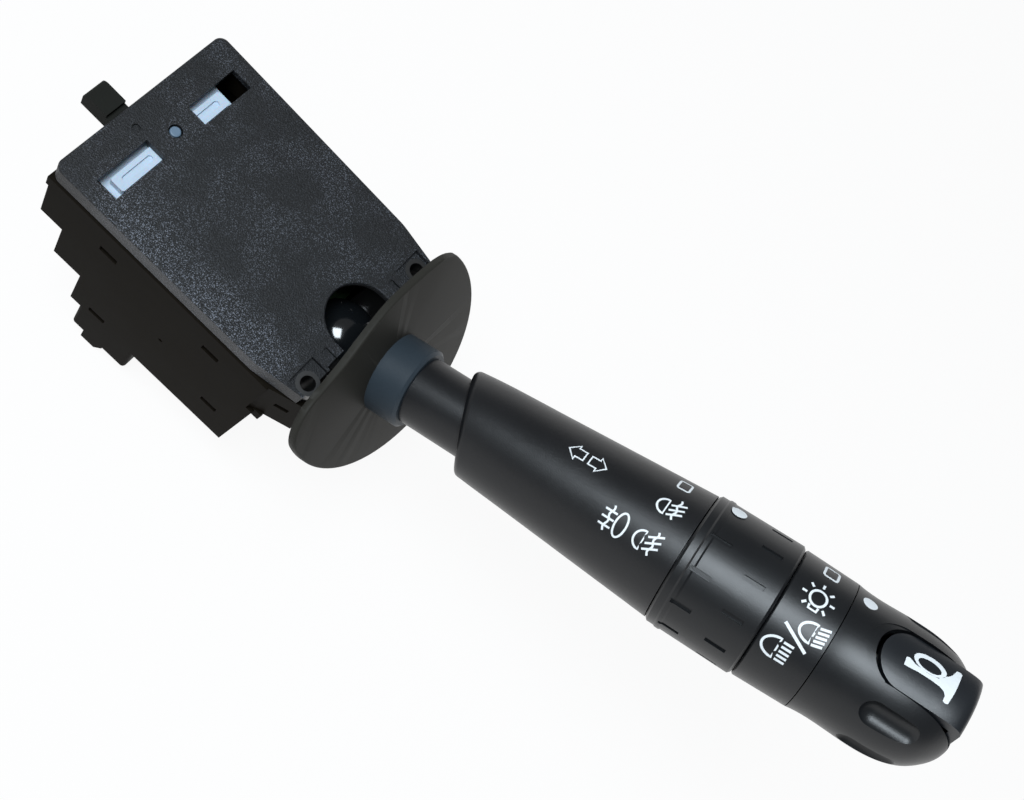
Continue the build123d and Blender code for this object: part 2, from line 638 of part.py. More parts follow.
def lower_case():
    body = case_shell() + case_nose()
    for side in (-1, 1):
        body += case_cheek(side)
    # way out for the ball, the yoke and the lever's tail
    half = FRONT_OPENING_HALF
    body -= block(CASE_CORNER_X - 6, NOSE_FRONT_X + 1, -half, half, NOSE_FLOOR_TOP, 1)
    body -= block(NOSE_FRONT_X, CHEEK_FLOOR_X + 1, -half, half, UPPER_FLOOR_Z - 6, 1)
    body -= rod(PIVOT_X, 0, TRUNNION_BOSS_BOTTOM - 1, NOSE_FLOOR_TOP + 1, BUSHING_R + PRESS_FIT)
    body += rod(CAM_PIN_X, 0, MID_FLOOR_Z + 1, CAM_POST_TOP, CAM_POST_R)
    body -= rod(CAM_PIN_X, 0, CAM_POST_TOP - 7, CAM_POST_TOP + 1, CAM_PIN_R + PRESS_FIT)
    for side in (-1, 1):
        body -= case_bores(side)
        body -= case_side_cuts(side)
    # plug opening in the deep floor, and the finger's way through the rim
    body -= shroud_flange(SEAT_GAP)
    left, right = FINGER_OUTER_Y - FINGER_ROOM, FINGER_INNER_Y + FINGER_ROOM
    inside = CASE_REAR_X + CASE_WALL
    body -= block(CASE_REAR_X - 2, inside + 1.5, left, right, FINGER_ARM_BOTTOM - FREE_GAP, 1)
    return body - block(inside, inside + 1.5, left, right, FINGER_ROOT_BOTTOM - FREE_GAP, 1)


# ---- connector and board ----------------------------------------------------------------
def shroud_flange(gap):
    """The plug's roof where it fills the opening in the case floor."""
    inset = SHROUD_WALL
    reach = 1 if gap else 0
    return block(SHROUD_REAR_X + inset - gap, SHROUD_FRONT_X - inset + gap,
                 -DEEP_INNER_HALF + 0.5 - gap, SHROUD_FAR_Y - inset + gap,
                 DEEP_FLOOR_Z - reach, DEEP_FLOOR_Z + CASE_WALL + reach)


def connector_shroud():
    y0 = -CASE_HALF_WIDTH
    body = block(SHROUD_REAR_X, SHROUD_FRONT_X, y0, SHROUD_FAR_Y, SHROUD_MOUTH_Z, DEEP_FLOOR_Z)
    body = soften(body, body.edges().filter_by(Axis.Z), SHROUD_CORNER_R)
    body -= block(SHROUD_REAR_X + SHROUD_WALL, SHROUD_FRONT_X - SHROUD_WALL, y0 + SHROUD_WALL,
                  SHROUD_FAR_Y - SHROUD_WALL, SHROUD_MOUTH_Z - 1, DEEP_FLOOR_Z - SHROUD_ROOF)
    end = SHROUD_MOUTH_Z - TONGUE_LENGTH
    tongue = [(TONGUE_REAR_X, SHROUD_MOUTH_Z + 1), (TONGUE_FRONT_X, SHROUD_MOUTH_Z + 1),
              (TONGUE_FRONT_X, end + TONGUE_LENGTH * 0.8), (TONGUE_FRONT_X - TONGUE_SLANT, end),
              (TONGUE_REAR_X, end)]
    body += side_prism(tongue, y0, y0 + SHROUD_WALL)
    body += shroud_flange(0)
    for x, y in blade_places():
        body -= blade_space(x, y, PRESS_FIT, DEEP_FLOOR_Z - SHROUD_ROOF - 1, DEEP_FLOOR_Z + CASE_WALL + 1)
    return body


def blade_places():
    """Plan positions of the terminal blades, two rows."""
    mid_x = (SHROUD_REAR_X + SHROUD_FRONT_X) / 2
    mid_y = (-CASE_HALF_WIDTH + SHROUD_FAR_Y) / 2
    first = mid_y - BLADE_PITCH * (BLADES_PER_ROW - 1) / 2
    return [(mid_x + row * BLADE_ROW_GAP / 2, first + i * BLADE_PITCH)
            for row in (-1, 1) for i in range(BLADES_PER_ROW)]


def blade_space(x, y, gap, z0, z1):
    """Upright slot or blade between two heights."""
    half_x, half_y = BLADE_THICK / 2 + gap, BLADE_WIDTH / 2 + gap
    return block(x - half_x, x + half_x, y - half_y, y + half_y, z0, z1)


def terminal_blades():
    blades = []
    for x, y in blade_places():
        blade = blade_space(x, y, 0, BLADE_TIP_Z, BOARD_TOP_Z + 0.4)
        tip = blade.edges().group_by(Axis.Z)[0].filter_by(Axis.Y)
        blades.append(chamfer(tip, 0.3))
    return Compound(children=blades)


def contact_board():
    rear = MID_REAR_X + CASE_WALL + SEAT_GAP
    low, high = BOARD_TOP_Z - BOARD_THICK - 1, BOARD_TOP_Z + 1
    body = block(rear, BOARD_FRONT_X, -BOARD_HALF_WIDTH, BOARD_HALF_WIDTH,
                 BOARD_TOP_Z - BOARD_THICK, BOARD_TOP_Z)
    for x, y in blade_places():
        body -= blade_space(x, y, PRESS_FIT, low, high)
    for side in (-1, 1):
        body -= rod(BOARD_SCREW_X, side * BOARD_SCREW_Y, low, high, BOARD_SCREW_R + SEAT_GAP)
    body -= rod(PIVOT_X, 0, low, high, TRUNNION_BOSS_R + FREE_GAP)
    return body - rod(CAM_PIN_X, 0, low, high, CAM_POST_R + SEAT_GAP)


def track_x(i):
    """Middle of one of the board's tracks."""
    return (CARRIER_REAR_X + CARRIER_FRONT_X) / 2 + (i - (TRACK_COUNT - 1) / 2) * TRACK_PITCH


def board_tracks():
    half = TRACK_WIDTH / 2
    return Compound(children=[block(track_x(i) - half, track_x(i) + half, -TRACK_LENGTH / 2,
                                    TRACK_LENGTH / 2, BOARD_TOP_Z, BOARD_TOP_Z + TRACK_THICK)
                              for i in range(TRACK_COUNT)])


def board_screws():
    x, high = BOARD_SCREW_X, BOARD_TOP_Z + 1.5
    bottom = BOARD_TOP_Z - BOARD_THICK - BOARD_SCREW_DEPTH
    screw = rod(x, 0, bottom, BOARD_TOP_Z + 0.5, BOARD_SCREW_R)
    screw += rod(x, 0, BOARD_TOP_Z, high, BOARD_SCREW_HEAD_R)
    screw -= block(x - 0.3, x + 0.3, -BOARD_SCREW_HEAD_R, BOARD_SCREW_HEAD_R, high - 0.5, high + 1)
    return Compound(children=[Pos(0, side * BOARD_SCREW_Y, 0) * screw for side in (-1, 1)])


# ---- turning yoke -----------------------------------------------------------------------
def turn_yoke():
    rear, front = PIVOT_X - CHEEK_HALF_X, PIVOT_X + CHEEK_HALF_X
    outline = [(-CHEEK_OUTER_Y, YOKE_BASE_BOTTOM), (CHEEK_OUTER_Y, YOKE_BASE_BOTTOM),
               (CHEEK_OUTER_Y, CHEEK_TOP_Z), (CHEEK_INNER_Y, CHEEK_TOP_Z),
               (CHEEK_INNER_Y, YOKE_BASE_TOP + 2), (CHEEK_INNER_Y - 2, YOKE_BASE_TOP),
               (2 - CHEEK_INNER_Y, YOKE_BASE_TOP), (-CHEEK_INNER_Y, YOKE_BASE_TOP + 2),
               (-CHEEK_INNER_Y, CHEEK_TOP_Z), (-CHEEK_OUTER_Y, CHEEK_TOP_Z)]
    body = front_prism(outline, rear, front)
    body += rod(PIVOT_X, 0, TRUNNION_BOTTOM, YOKE_BASE_TOP, TRUNNION_R)
    body -= lever_pin_rod(LEVER_PIN_R + PRESS_FIT, CHEEK_OUTER_Y + 1)
    tops = body.edges().filter_by(Axis.Y).group_by(Axis.Z)[-1]
    return soften(body, tops, CHEEK_HALF_X * 0.4)


def lever_pin_rod(r, half):
    return Pos(PIVOT_X, 0, PIVOT_Z) * Rot(90, 0, 0) * Cylinder(r, 2 * half)


def lever_pin():
    pin = lever_pin_rod(LEVER_PIN_R, CHEEK_OUTER_Y + 0.3)
    return chamfer(pin.edges().filter_by(GeomType.CIRCLE), 0.25)


def trunnion_bush():
    body = rod(PIVOT_X, 0, TRUNNION_BOSS_BOTTOM, NOSE_FLOOR_TOP, BUSHING_R)
    body += rod(PIVOT_X, 0, NOSE_FLOOR_TOP, NOSE_FLOOR_TOP + BUSHING_FLANGE_THICK, BUSHING_FLANGE_R)
    return body - rod(PIVOT_X, 0, TRUNNION_BOSS_BOTTOM - 1, 0, TRUNNION_R + RUN_FIT)


def detent_cam():
    """Block with a dished face that the plunger's tip sweeps over."""
    dish = Pos(PIVOT_X, 0, PIVOT_Z) * Sphere(-PLUNGER_TIP_S + FREE_GAP)
    body = block(CAM_REAR_X, CAM_FRONT_X, -CAM_HALF_WIDTH, CAM_HALF_WIDTH, BOARD_TOP_Z, CAM_TOP_Z)
    body = soften(body, body.edges().filter_by(Axis.Z).group_by(Axis.X)[0], CAM_CORNER_R)
    for x, y in blade_places():
        body -= blade_space(x, y, 0.6, BOARD_TOP_Z - 1, BOARD_TOP_Z + 1)
    return body - dish


# ---- contact carrier --------------------------------------------------------------------
def contact_carrier():
    bottom = BOARD_TOP_Z + CARRIER_LIFT
    prong_outer = PRONG_GAP_HALF + PRONG_THICK
    body = block(CARRIER_REAR_X, CARRIER_FRONT_X, -CARRIER_HALF_WIDTH, CARRIER_HALF_WIDTH,
                 bottom, CARRIER_TOP_Z)
    for side in (-1, 1):
        body += block(PRONG_X - PRONG_LENGTH / 2, PRONG_X + PRONG_LENGTH / 2, side * PRONG_GAP_HALF,
                      side * prong_outer, bottom, PRONG_TOP_Z)
    for i in range(TRACK_COUNT):
        body -= contact_bar(i, SEAT_GAP / 2)
    return body


def contact_bar(i, gap):
    half_x, half_y = TRACK_WIDTH / 2 + gap, CONTACT_HALF_LENGTH + gap
    low = BOARD_TOP_Z + TRACK_THICK + SEAT_GAP
    return block(track_x(i) - half_x, track_x(i) + half_x, -half_y, half_y, low - gap,
                 low + CONTACT_HIGH + gap)


def contact_bars():
    return Compound(children=[contact_bar(i, 0) for i in range(TRACK_COUNT)])


# ---- cancelling gear --------------------------------------------------------------------
def cam_pin():
    pin = rod(CAM_PIN_X, 0, CAM_POST_TOP - 6.9, CAM_PIN_TOP, CAM_PIN_R)
    return fillet(pin.edges().group_by(Axis.Z)[-1], 0.3)


def cancel_slide():
    pad_top = COVER_UNDER - FREE_GAP
    base_top = pad_top - PAD_THICK
    base_bottom = base_top - SLIDE_BASE_THICK
    y0 = SLIDE_REST_Y
    body = block(SLIDE_REAR_X, SLIDE_FRONT_X, y0 - SLIDE_HALF_LENGTH, y0 + SLIDE_HALF_LENGTH,
                 base_bottom, base_top)
    dish = SlotOverall(PAD_OUTER - PAD_INNER - 2 * PAD_RIM, PAD_DISH_WIDTH, rotation=90)
    for side in (-1, 1):
        pad = block(PAD_REAR_X, PAD_FRONT_X, y0 + side * PAD_INNER, y0 + side * PAD_OUTER,
                    base_top - 0.2, pad_top)
        body += soften(pad, pad.edges().filter_by(Axis.Z), PAD_CORNER_R)
        mid = y0 + side * (PAD_INNER + PAD_OUTER) / 2
        body -= Pos((PAD_REAR_X + PAD_FRONT_X) / 2, mid, pad_top - PAD_DISH_DEPTH) * extrude(dish, 2)
    return body - block(CAM_PIN_X - SLIDE_SLOT_HALF_X, CAM_PIN_X + SLIDE_SLOT_HALF_X,
                        y0 - SLIDE_SLOT_HALF_Y, y0 + SLIDE_SLOT_HALF_Y, base_bottom - 1, base_top + 1)


def cancel_finger():
    """Finger on the cam pin: a low root under the slide, a riser, and a tab behind the cover."""
    riser = FINGER_STEP_X - FINGER_RISER
    tab_front = COVER_REAR_X - FINGER_TAB_GAP
    web = [(CAM_PIN_X - 1.0, 2.4), (CAM_PIN_X + 1.0, -2.8), (FINGER_STEP_X, FINGER_OUTER_Y),
           (riser, FINGER_OUTER_Y), (riser, FINGER_INNER_Y)]
    body = rod(CAM_PIN_X, 0, FINGER_ROOT_BOTTOM, FINGER_ROOT_TOP, FINGER_HUB_R)
    body += prism(web, FINGER_ROOT_BOTTOM, FINGER_ROOT_TOP)
    arm = [(FINGER_STEP_X, FINGER_ROOT_BOTTOM), (FINGER_STEP_X, FINGER_ARM_TOP),
           (tab_front, FINGER_ARM_TOP), (tab_front, FINGER_TAB_TOP), (FINGER_TIP_X, FINGER_TAB_TOP),
           (FINGER_TIP_X, FINGER_ARM_BOTTOM), (riser, FINGER_ARM_BOTTOM), (riser, FINGER_ROOT_BOTTOM)]
    arm = side_prism(arm, FINGER_OUTER_Y, FINGER_INNER_Y)
    top_edge = arm.edges().filter_by(Axis.Y).group_by(Axis.X)[0].sort_by(Axis.Z)[-1]
    body += soften(arm, [top_edge], FINGER_TAB_R)
    return body - rod(CAM_PIN_X, 0, FINGER_ROOT_BOTTOM - 1, FINGER_ROOT_TOP + 1, CAM_PIN_R + RUN_FIT)


def finger_spring():
    low = FINGER_ROOT_BOTTOM - FINGER_SPRING_HIGH - 0.6
    return Pos(CAM_PIN_X, 0, 0) * coil(FINGER_SPRING_R, FINGER_WIRE_R, low,
                                       low + FINGER_SPRING_HIGH, FINGER_TURNS)


# ---- lever ------------------------------------------------------------------------------
def lever_core():
    """Ball, tail and socket neck in one moulding, bored for the pivot pin."""
    body = Sphere(BALL_R) + shaft(NECK_R, 0, NECK_END_S) + shaft(TAIL_R, TAIL_END_S, 0)
    body -= shaft(TUBE_R + PRESS_FIT, TUBE_START_S, NECK_END_S + 1)
    body -= shaft(PLUNGER_R + SLIDE_FIT, TAIL_END_S - 1, TAIL_BORE_END_S)
    return on_stalk(body) - lever_pin_rod(LEVER_PIN_R + RUN_FIT, BALL_R + 1)


def shield_outline():
    """Egg-shaped disc whose top edge is cut along a gentle crown."""
    egg = Pos(0, SHIELD_CENTRE_W) * Rot(0, 0, SHIELD_ROLL) * Ellipse(SHIELD_LONG, SHIELD_SHORT)
    reach = SHIELD_LONG
    left, right = (-reach, SHIELD_LEFT_W - 1.9), (reach, SHIELD_RIGHT_W - 3)
    crown = Spline(left, (SHIELD_LEFT_U, SHIELD_LEFT_W), (SHIELD_BEND_U, SHIELD_BEND_W),
                   (0, SHIELD_CROWN), (SHIELD_RIGHT_U / 3, SHIELD_CROWN - 0.4),
                   (SHIELD_RIGHT_U, SHIELD_RIGHT_W), right)
    return egg & make_face([crown, Polyline(right, (reach, -reach), (-reach, -reach), left)])


def shield():
    body = Pos(0, 0, SHIELD_FRONT_S - SHIELD_THICK) * extrude(shield_outline(), SHIELD_THICK)
    corners = body.edges().filter_by(Axis.Z).sort_by(Axis.X)
    body = soften(body, corners[:1], SHIELD_LEFT_R)
    body = soften(body, body.edges().filter_by(Axis.Z).sort_by(Axis.X)[-1:], SHIELD_RIGHT_R)
    body = soften(body, body.edges().group_by(Axis.Z)[-1], SHIELD_EDGE_R)
    return on_stalk(body - shaft(NECK_R + PRESS_FIT, 0, SHIELD_FRONT_S + 1))


def hub_collar():
    """Stepped collar that holds the shield and the inner tube."""
    neck, bore = NECK_R + PRESS_FIT, TUBE_R + PRESS_FIT
    step = NECK_END_S + SEAT_GAP
    return on_stalk(turned([(neck, SHIELD_FRONT_S), (COLLAR_R, SHIELD_FRONT_S),
                            (COLLAR_R, COLLAR_END_S - COLLAR_EDGE), (COLLAR_R - COLLAR_EDGE, COLLAR_END_S),
                            (bore, COLLAR_END_S), (bore, step), (neck, step)]))


def inner_tube():
    return on_stalk(tube(TUBE_R, TUBE_BORE_R, TUBE_START_S + SEAT_GAP, TUBE_END_S))


def flex_lead():
    start = TUBE_START_S + 1
    return on_stalk(Pos(0, 0, (start + LEAD_END_S) / 2) * Box(LEAD_WIDTH, LEAD_THICK, LEAD_END_S - start))


def sleeve_curve():
    """Outer side of the grip from the shoulder to the ring."""
    return [(SLEEVE_START_R, SLEEVE_START_S), (SLEEVE_FLARE_R, SLEEVE_FLARE_S),
            (SLEEVE_WAIST_R, SLEEVE_WAIST_S), (SLEEVE_MID_R, SLEEVE_MID_S), (SLEEVE_END_R, SLEEVE_END_S)]


def stalk_sleeve():
    """Tapered grip with a skewed shoulder over a plain neck."""
    bore = TUBE_R + PRESS_FIT
    body = turned_smooth(sleeve_curve(), bore)
    far = SLEEVE_MID_R * 2.4
    skew = [(-far, SHOULDER_S + SHOULDER_SLOPE * far), (far, SHOULDER_S - SHOULDER_SLOPE * far),
            (far, 0), (-far, 0)]
    body -= side_prism(skew, -far, far)
    limit = SHOULDER_S + SHOULDER_SLOPE * SLEEVE_WAIST_R * 2
    shoulder = [e for e in body.edges() if e.center().Z < limit and e.length > 5 * bore]
    body = soften(body, shoulder, SHOULDER_EDGE_R)
    body += tube(SLEEVE_NECK_R, bore, COLLAR_END_S + SEAT_GAP, SLEEVE_WAIST_S)
    body -= tube(SLEEVE_BORE_R, TUBE_R, SLEEVE_BORE_S, SLEEVE_END_S + 1)
    return on_stalk(body)


# ---- twist ring -------------------------------------------------------------------------
def ring_drum():
    """Fixed drum that closes the sleeve and carries the twist ring."""
    spigot = SLEEVE_BORE_R - SEAT_GAP
    bore, inner = TUBE_R + PRESS_FIT, DRUM_R - DRUM_WALL
    start, floor, end = SLEEVE_END_S - DRUM_SPIGOT_LENGTH, RING_START_S + DRUM_FLOOR, BAND_START_S - SEAT_GAP
    body = turned([(bore, start), (spigot, start), (spigot, SLEEVE_END_S), (DRUM_R, SLEEVE_END_S),
                   (DRUM_R, end), (inner, end), (inner, floor), (bore + DRUM_WALL, floor),
                   (bore + DRUM_WALL, end), (bore, end)])
    return on_stalk(body - tube(DRUM_R + 1, DRUM_R - 0.4, *track_span()))


def track_span():
    mid = (RING_START_S + RING_END_S) / 2
    return mid - 2.0, mid + 2.0


def ring_track():
    return on_stalk(tube(DRUM_R, DRUM_R - 0.4, *track_span()))


def ring_wiper():
    s0, s1 = track_span()
    outer = DRUM_R + WIPER_PROUD
    arc = tube(outer, outer - WIPER_THICK, s0 + 0.6, s1 - 0.6)
    return on_stalk(arc & Pos(0, outer, (s0 + s1) / 2) * Box(WIPER_WIDTH, 2 * outer, 3 * (s1 - s0)))


def fog_ring():
    """Twist ring with a raised rib and two rows of short grooves."""
    bore, e = DRUM_R + SLIDE_FIT, RING_EDGE
    rib, foot = RING_RIB_HALF / 2, RING_RIB_HALF
    body = turned([(bore, RING_START_S), (RING_R - e, RING_START_S), (RING_R, RING_START_S + e),
                   (RING_R, RING_RIB_S - foot), (RING_RIB_R, RING_RIB_S - rib),
                   (RING_RIB_R, RING_RIB_S + rib), (RING_R, RING_RIB_S + foot),
                   (RING_R, RING_END_S - e), (RING_R - e, RING_END_S), (bore, RING_END_S)])
    s0, s1 = track_span()
    body -= tube(DRUM_R + WIPER_PROUD + PRESS_FIT, DRUM_R - 1, s0 + 0.6 - PRESS_FIT, s1 - 0.6 + PRESS_FIT)
    for row, s in enumerate((GROOVE_ROW_ONE_S, GROOVE_ROW_TWO_S)):
        groove = Pos(0, RING_R, s) * Box(GROOVE_WIDTH, 2 * GROOVE_DEPTH, GROOVE_LENGTH)
        for i in range(GROOVE_COUNT):
            if row or i != GROOVE_SKIPPED:
                body -= Rot(0, 0, (i + row / 2) * 360 / GROOVE_COUNT) * groove
    return on_stalk(body)


# ---- symbol band and end cap ------------------------------------------------------------
def symbol_band():
    bore, inner, floor = TUBE_R + PRESS_FIT, BAND_END_R - BAND_WALL, BAND_START_S + BAND_WALL
    return on_stalk(turned([(bore, BAND_START_S), (BAND_START_R - BAND_EDGE, BAND_START_S),
                            (BAND_START_R, BAND_START_S + BAND_EDGE), (BAND_END_R, BAND_END_S),
                            (inner, BAND_END_S), (inner, floor), (SPIGOT_R, floor),
                            (SPIGOT_R, SPIGOT_END_S), (bore, SPIGOT_END_S)]))


def cap_curve():
    """Outer side of the cap, closing in toward the tip."""
    return [(CAP_START_R, CAP_START_S), (CAP_BODY_R, CAP_BODY_S), (CAP_HIP_R, CAP_HIP_S),
            (CAP_BEND_R, CAP_BEND_S), (CAP_DOME_R, CAP_DOME_S), (CAP_CROWN_R, CAP_CROWN_S),
            (CAP_END_R, CAP_END_S)]


def u_slot(half, apex_s, w0, w1, end_s):
    """Round-ended slot across the cap, open at the tip."""
    centre = apex_s + half
    body = Pos(0, (w0 + w1) / 2, centre) * Rot(90, 0, 0) * Cylinder(half, w1 - w0)
    return body + block(-half, half, w0, w1, centre, end_s)


def cap_shell():
    """Closed cap with a cross wall, hollow on both sides of it."""
    inner, wall_end = SPIGOT_R + SLIDE_FIT, CAP_WALL_S + CAP_WALL_THICK
    face = CAP_END_S - CAP_FACE_THICK
    body = turned_smooth(cap_curve(), 0.01)
    body -= shaft(inner, CAP_START_S - 1, CAP_WALL_S)
    body -= tube(CAP_BORE_R, inner - 1, CAP_START_S + 2.4, CAP_WALL_S)
    return body - turned([(0, wall_end), (CAP_BORE_R - 0.3, wall_end), (CAP_BORE_R - 1.4, CAP_HIP_S),
                          (CAP_DOME_R - 2.2, CAP_DOME_S - 1), (CAP_END_R, face), (0, face)])


def end_cap():
    """Turning cap with the horn button's slot, its sunk surround and the finger flutes."""
    wall_end, tip = CAP_WALL_S + CAP_WALL_THICK, CAP_END_S + 5
    half, above = HORN_HALF_WIDTH + HORN_SIDE_GAP, CAP_START_R * 1.5
    body = cap_shell() + Pos(0, STEM_W, 0) * shaft(GUIDE_R, wall_end, GUIDE_END_S)
    body -= u_slot(half, HORN_APEX_S - HORN_TRAVEL - FREE_GAP, CAP_BORE_R - 1.6, above, tip)
    body -= block(-half, half, HORN_FLOOR_W - HORN_SIDE_GAP, above, wall_end + 5.5, tip)
    body -= block(-half, half, CAP_BORE_R - 2.8, above, wall_end, tip)
    shoulder = tube(above, CAP_BODY_R + 0.27 - HORN_RECESS_DEPTH, HORN_RECESS_APEX_S, wall_end + 3)
    body -= shoulder & u_slot(half, HORN_RECESS_APEX_S, HORN_FLOOR_W, above, tip)
    body -= Pos(0, STEM_W, 0) * shaft(STEM_R + SLIDE_FIT, wall_end, GUIDE_END_S + 1)
    for side in (-1, 1):
        for i in range(FLUTES_PER_SIDE):
            body -= Rot(0, 0, side * (FLUTE_FIRST + i * FLUTE_STEP)) * flute()
    return on_cap(body)


def flute():
    """Round-ended finger groove, drawn above the axis."""
    cut = shaft(FLUTE_R, FLUTE_START_S, FLUTE_END_S)
    for s in (FLUTE_START_S, FLUTE_END_S):
        cut += Pos(0, 0, s) * Sphere(FLUTE_R)
    return Pos(0, FLUTE_AXIS_R, 0) * cut


def cap_spindle():
    head = shaft(SPINDLE_HEAD_R, CAP_WALL_S - SPINDLE_HEAD_THICK, CAP_WALL_S)
    return on_cap(shaft(SPINDLE_R, SPINDLE_START_S, CAP_WALL_S) + head)


# ---- horn button ------------------------------------------------------------------------
def horn_curve():
    """Crown of the button, a little under the cap and rounded over at its end."""
    return [(HORN_START_R, CAP_START_S), (HORN_BODY_R, CAP_BODY_S), (HORN_HIP_R, CAP_HIP_S),
            (HORN_BEND_R, HORN_BEND_S), (HORN_RIM_R, HORN_RIM_S), (HORN_END_R, HORN_END_S)]


def horn_button():
    crown = horn_curve()
    above, last = HORN_START_R * 1.5, HORN_END_S - HORN_FACE_THICK
    body = turned_smooth(crown, 0.01) & u_slot(HORN_HALF_WIDTH, HORN_APEX_S, HORN_FLOOR_W, above, HORN_END_S + 1)
    inner = [(r - HORN_PLATE_THICK, s) for r, s in crown[:3]]
    body -= turned([(0, CAP_START_S)] + inner + [(HORN_BEND_R - HORN_PLATE_THICK - 0.3, last), (0, last)])
    return on_cap(body + Pos(0, STEM_W, 0) * shaft(STEM_R, STEM_INNER_S, last + 0.5))


def horn_spring():
    last = HORN_END_S - HORN_FACE_THICK
    low, high = GUIDE_END_S + HORN_WIRE_R + 0.05, last - HORN_WIRE_R - SEAT_GAP
    return on_cap(Pos(0, STEM_W, 0) * coil(HORN_SPRING_R, HORN_WIRE_R, low, high, HORN_TURNS))


def horn_contact():
    base = CAP_WALL_S + CAP_WALL_THICK
    return on_cap(Pos(0, STEM_W, 0) * shaft(STEM_R - SEAT_GAP, base, base + HORN_CONTACT_THICK))


# ---- detent -----------------------------------------------------------------------------
def detent_plunger():
    end = PLUNGER_TIP_S + PLUNGER_R
    return on_stalk(shaft(PLUNGER_R, end, PLUNGER_HEAD_S) + Pos(0, 0, end) * Sphere(PLUNGER_R))


def detent_spring():
    inset = DETENT_WIRE_R + 0.05
    return on_stalk(coil(DETENT_SPRING_R, DETENT_WIRE_R, PLUNGER_HEAD_S + inset,
                         TAIL_BORE_END_S - inset, DETENT_TURNS))


NODES = {
    "lower_case": lower_case, "cover": cover, "screw_bushes": screw_bushes,
    "connector_shroud": connector_shroud, "terminal_blades": terminal_blades,
    "contact_board": contact_board, "board_tracks": board_tracks, "board_screws": board_screws,
    "trunnion_bush": trunnion_bush, "detent_cam": detent_cam, "cam_pin": cam_pin,
    "finger_spring": finger_spring, "cancel_slide": cancel_slide, "cancel_finger": cancel_finger,
    "contact_carrier": contact_carrier, "contact_bars": contact_bars, "turn_yoke": turn_yoke,
    "lever_pin": lever_pin, "lever_core": lever_core, "shield": shield, "hub_collar": hub_collar,
    "stalk_sleeve": stalk_sleeve, "inner_tube": inner_tube, "flex_lead": flex_lead,
    "ring_drum": ring_drum, "ring_track": ring_track, "symbol_band": symbol_band,
    "detent_plunger": detent_plunger, "detent_spring": detent_spring, "fog_ring": fog_ring,
    "ring_wiper": ring_wiper, "end_cap": end_cap, "cap_spindle": cap_spindle,
    "horn_contact": horn_contact, "horn_button": horn_button, "horn_spring": horn_spring,
}


def main():
    os.makedirs("parts", exist_ok=True)
    for name, make in NODES.items():
        shape = make()
        shape.label = name
        export_step(shape, f"parts/{name}.step")


if __name__ == "__main__":
    main()
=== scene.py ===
"""Looks of the combination stalk switch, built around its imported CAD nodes.

Lengths are in metres in the part's own frame: the origin is midway between the two screw
seats, +X toward the stalk, +Y across, +Z out of the cover.
"""
import logging
import math
from dataclasses import dataclass, field
from enum import Enum
from typing import Optional, Sequence, Union

import bpy
from mathutils import Matrix, Vector


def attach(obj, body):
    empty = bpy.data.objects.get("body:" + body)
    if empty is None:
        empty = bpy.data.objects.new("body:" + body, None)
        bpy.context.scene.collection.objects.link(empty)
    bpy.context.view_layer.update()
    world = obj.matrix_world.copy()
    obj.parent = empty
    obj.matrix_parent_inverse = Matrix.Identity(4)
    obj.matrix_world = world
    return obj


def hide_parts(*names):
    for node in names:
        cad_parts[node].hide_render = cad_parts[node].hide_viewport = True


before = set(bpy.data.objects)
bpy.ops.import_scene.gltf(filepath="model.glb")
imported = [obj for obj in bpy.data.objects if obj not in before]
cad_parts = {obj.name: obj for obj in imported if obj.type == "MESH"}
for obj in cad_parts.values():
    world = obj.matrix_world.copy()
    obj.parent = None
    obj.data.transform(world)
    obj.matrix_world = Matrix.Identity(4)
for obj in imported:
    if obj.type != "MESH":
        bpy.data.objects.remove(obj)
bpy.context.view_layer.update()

LOG = logging.getLogger("stalk_switch")
MM = 0.001

Colour = tuple[float, float, float]
Point = tuple[float, float]

FRAME_WIDE, FRAME_HIGH = 1024.0, 800.0
SENSOR_MM = 36.0
MIX_FACTOR, MIX_LOW, MIX_HIGH, MIX_RESULT = 0, 6, 7, 2
WHITE = (1.0, 1.0, 1.0, 1.0)
COARSE_RELIEF = 0.7
NOISE_ROUGHNESS = 0.55


class Body(Enum):
    """Moving bodies that the scene's own pieces ride on."""

    LEVER = "lever"
    RING = "ring"
    CAP = "cap"
    HORN = "horn"


# ---- shader maths -----------------------------------------------------------------------
@dataclass(frozen=True)
class Num:
    """A scalar socket that can be used in Python expressions."""

    graph: "Graph"
    socket: bpy.types.NodeSocket

    def _math(self, operation: str, *values: "Scalar") -> "Num":
        """Add one Math node.

        Args:
            operation: Name of the Math operation.
            values: Its inputs, in order.

        Returns:
            The node's result.
        """
        sockets = dict(enumerate(values))
        return Num(self.graph, self.graph.node("ShaderNodeMath", {"operation": operation}, sockets))

    def __add__(self, other: "Scalar") -> "Num":
        """Return self + other."""
        return self._math("ADD", self, other)

    def __sub__(self, other: "Scalar") -> "Num":
        """Return self - other."""
        return self._math("SUBTRACT", self, other)

    def __mul__(self, other: "Scalar") -> "Num":
        """Return self * other."""
        return self._math("MULTIPLY", self, other)

    def __rsub__(self, other: float) -> "Num":
        """Return other - self."""
        return self._math("SUBTRACT", other, self)

    __radd__ = __add__
    __rmul__ = __mul__

    def _mapped(self, low: float, high: float, curve: str) -> "Num":
        """Map a range onto 0 to 1, and stop at both ends.

        Args:
            low: Value that becomes 0.
            high: Value that becomes 1.
            curve: Name of the interpolation.

        Returns:
            The mapped value.
        """
        settings = {"interpolation_type": curve, "clamp": True}
        sockets = {"Value": self, "From Min": low, "From Max": high}
        return Num(self.graph, self.graph.node("ShaderNodeMapRange", settings, sockets))

    def step(self, low: float, high: float) -> "Num":
        """Return the range mapped onto 0 to 1, smoothly."""
        return self._mapped(low, high, "SMOOTHSTEP")

    def ramp(self, low: float, high: float) -> "Num":
        """Return the range mapped onto 0 to 1, in a straight line."""
        return self._mapped(low, high, "LINEAR")


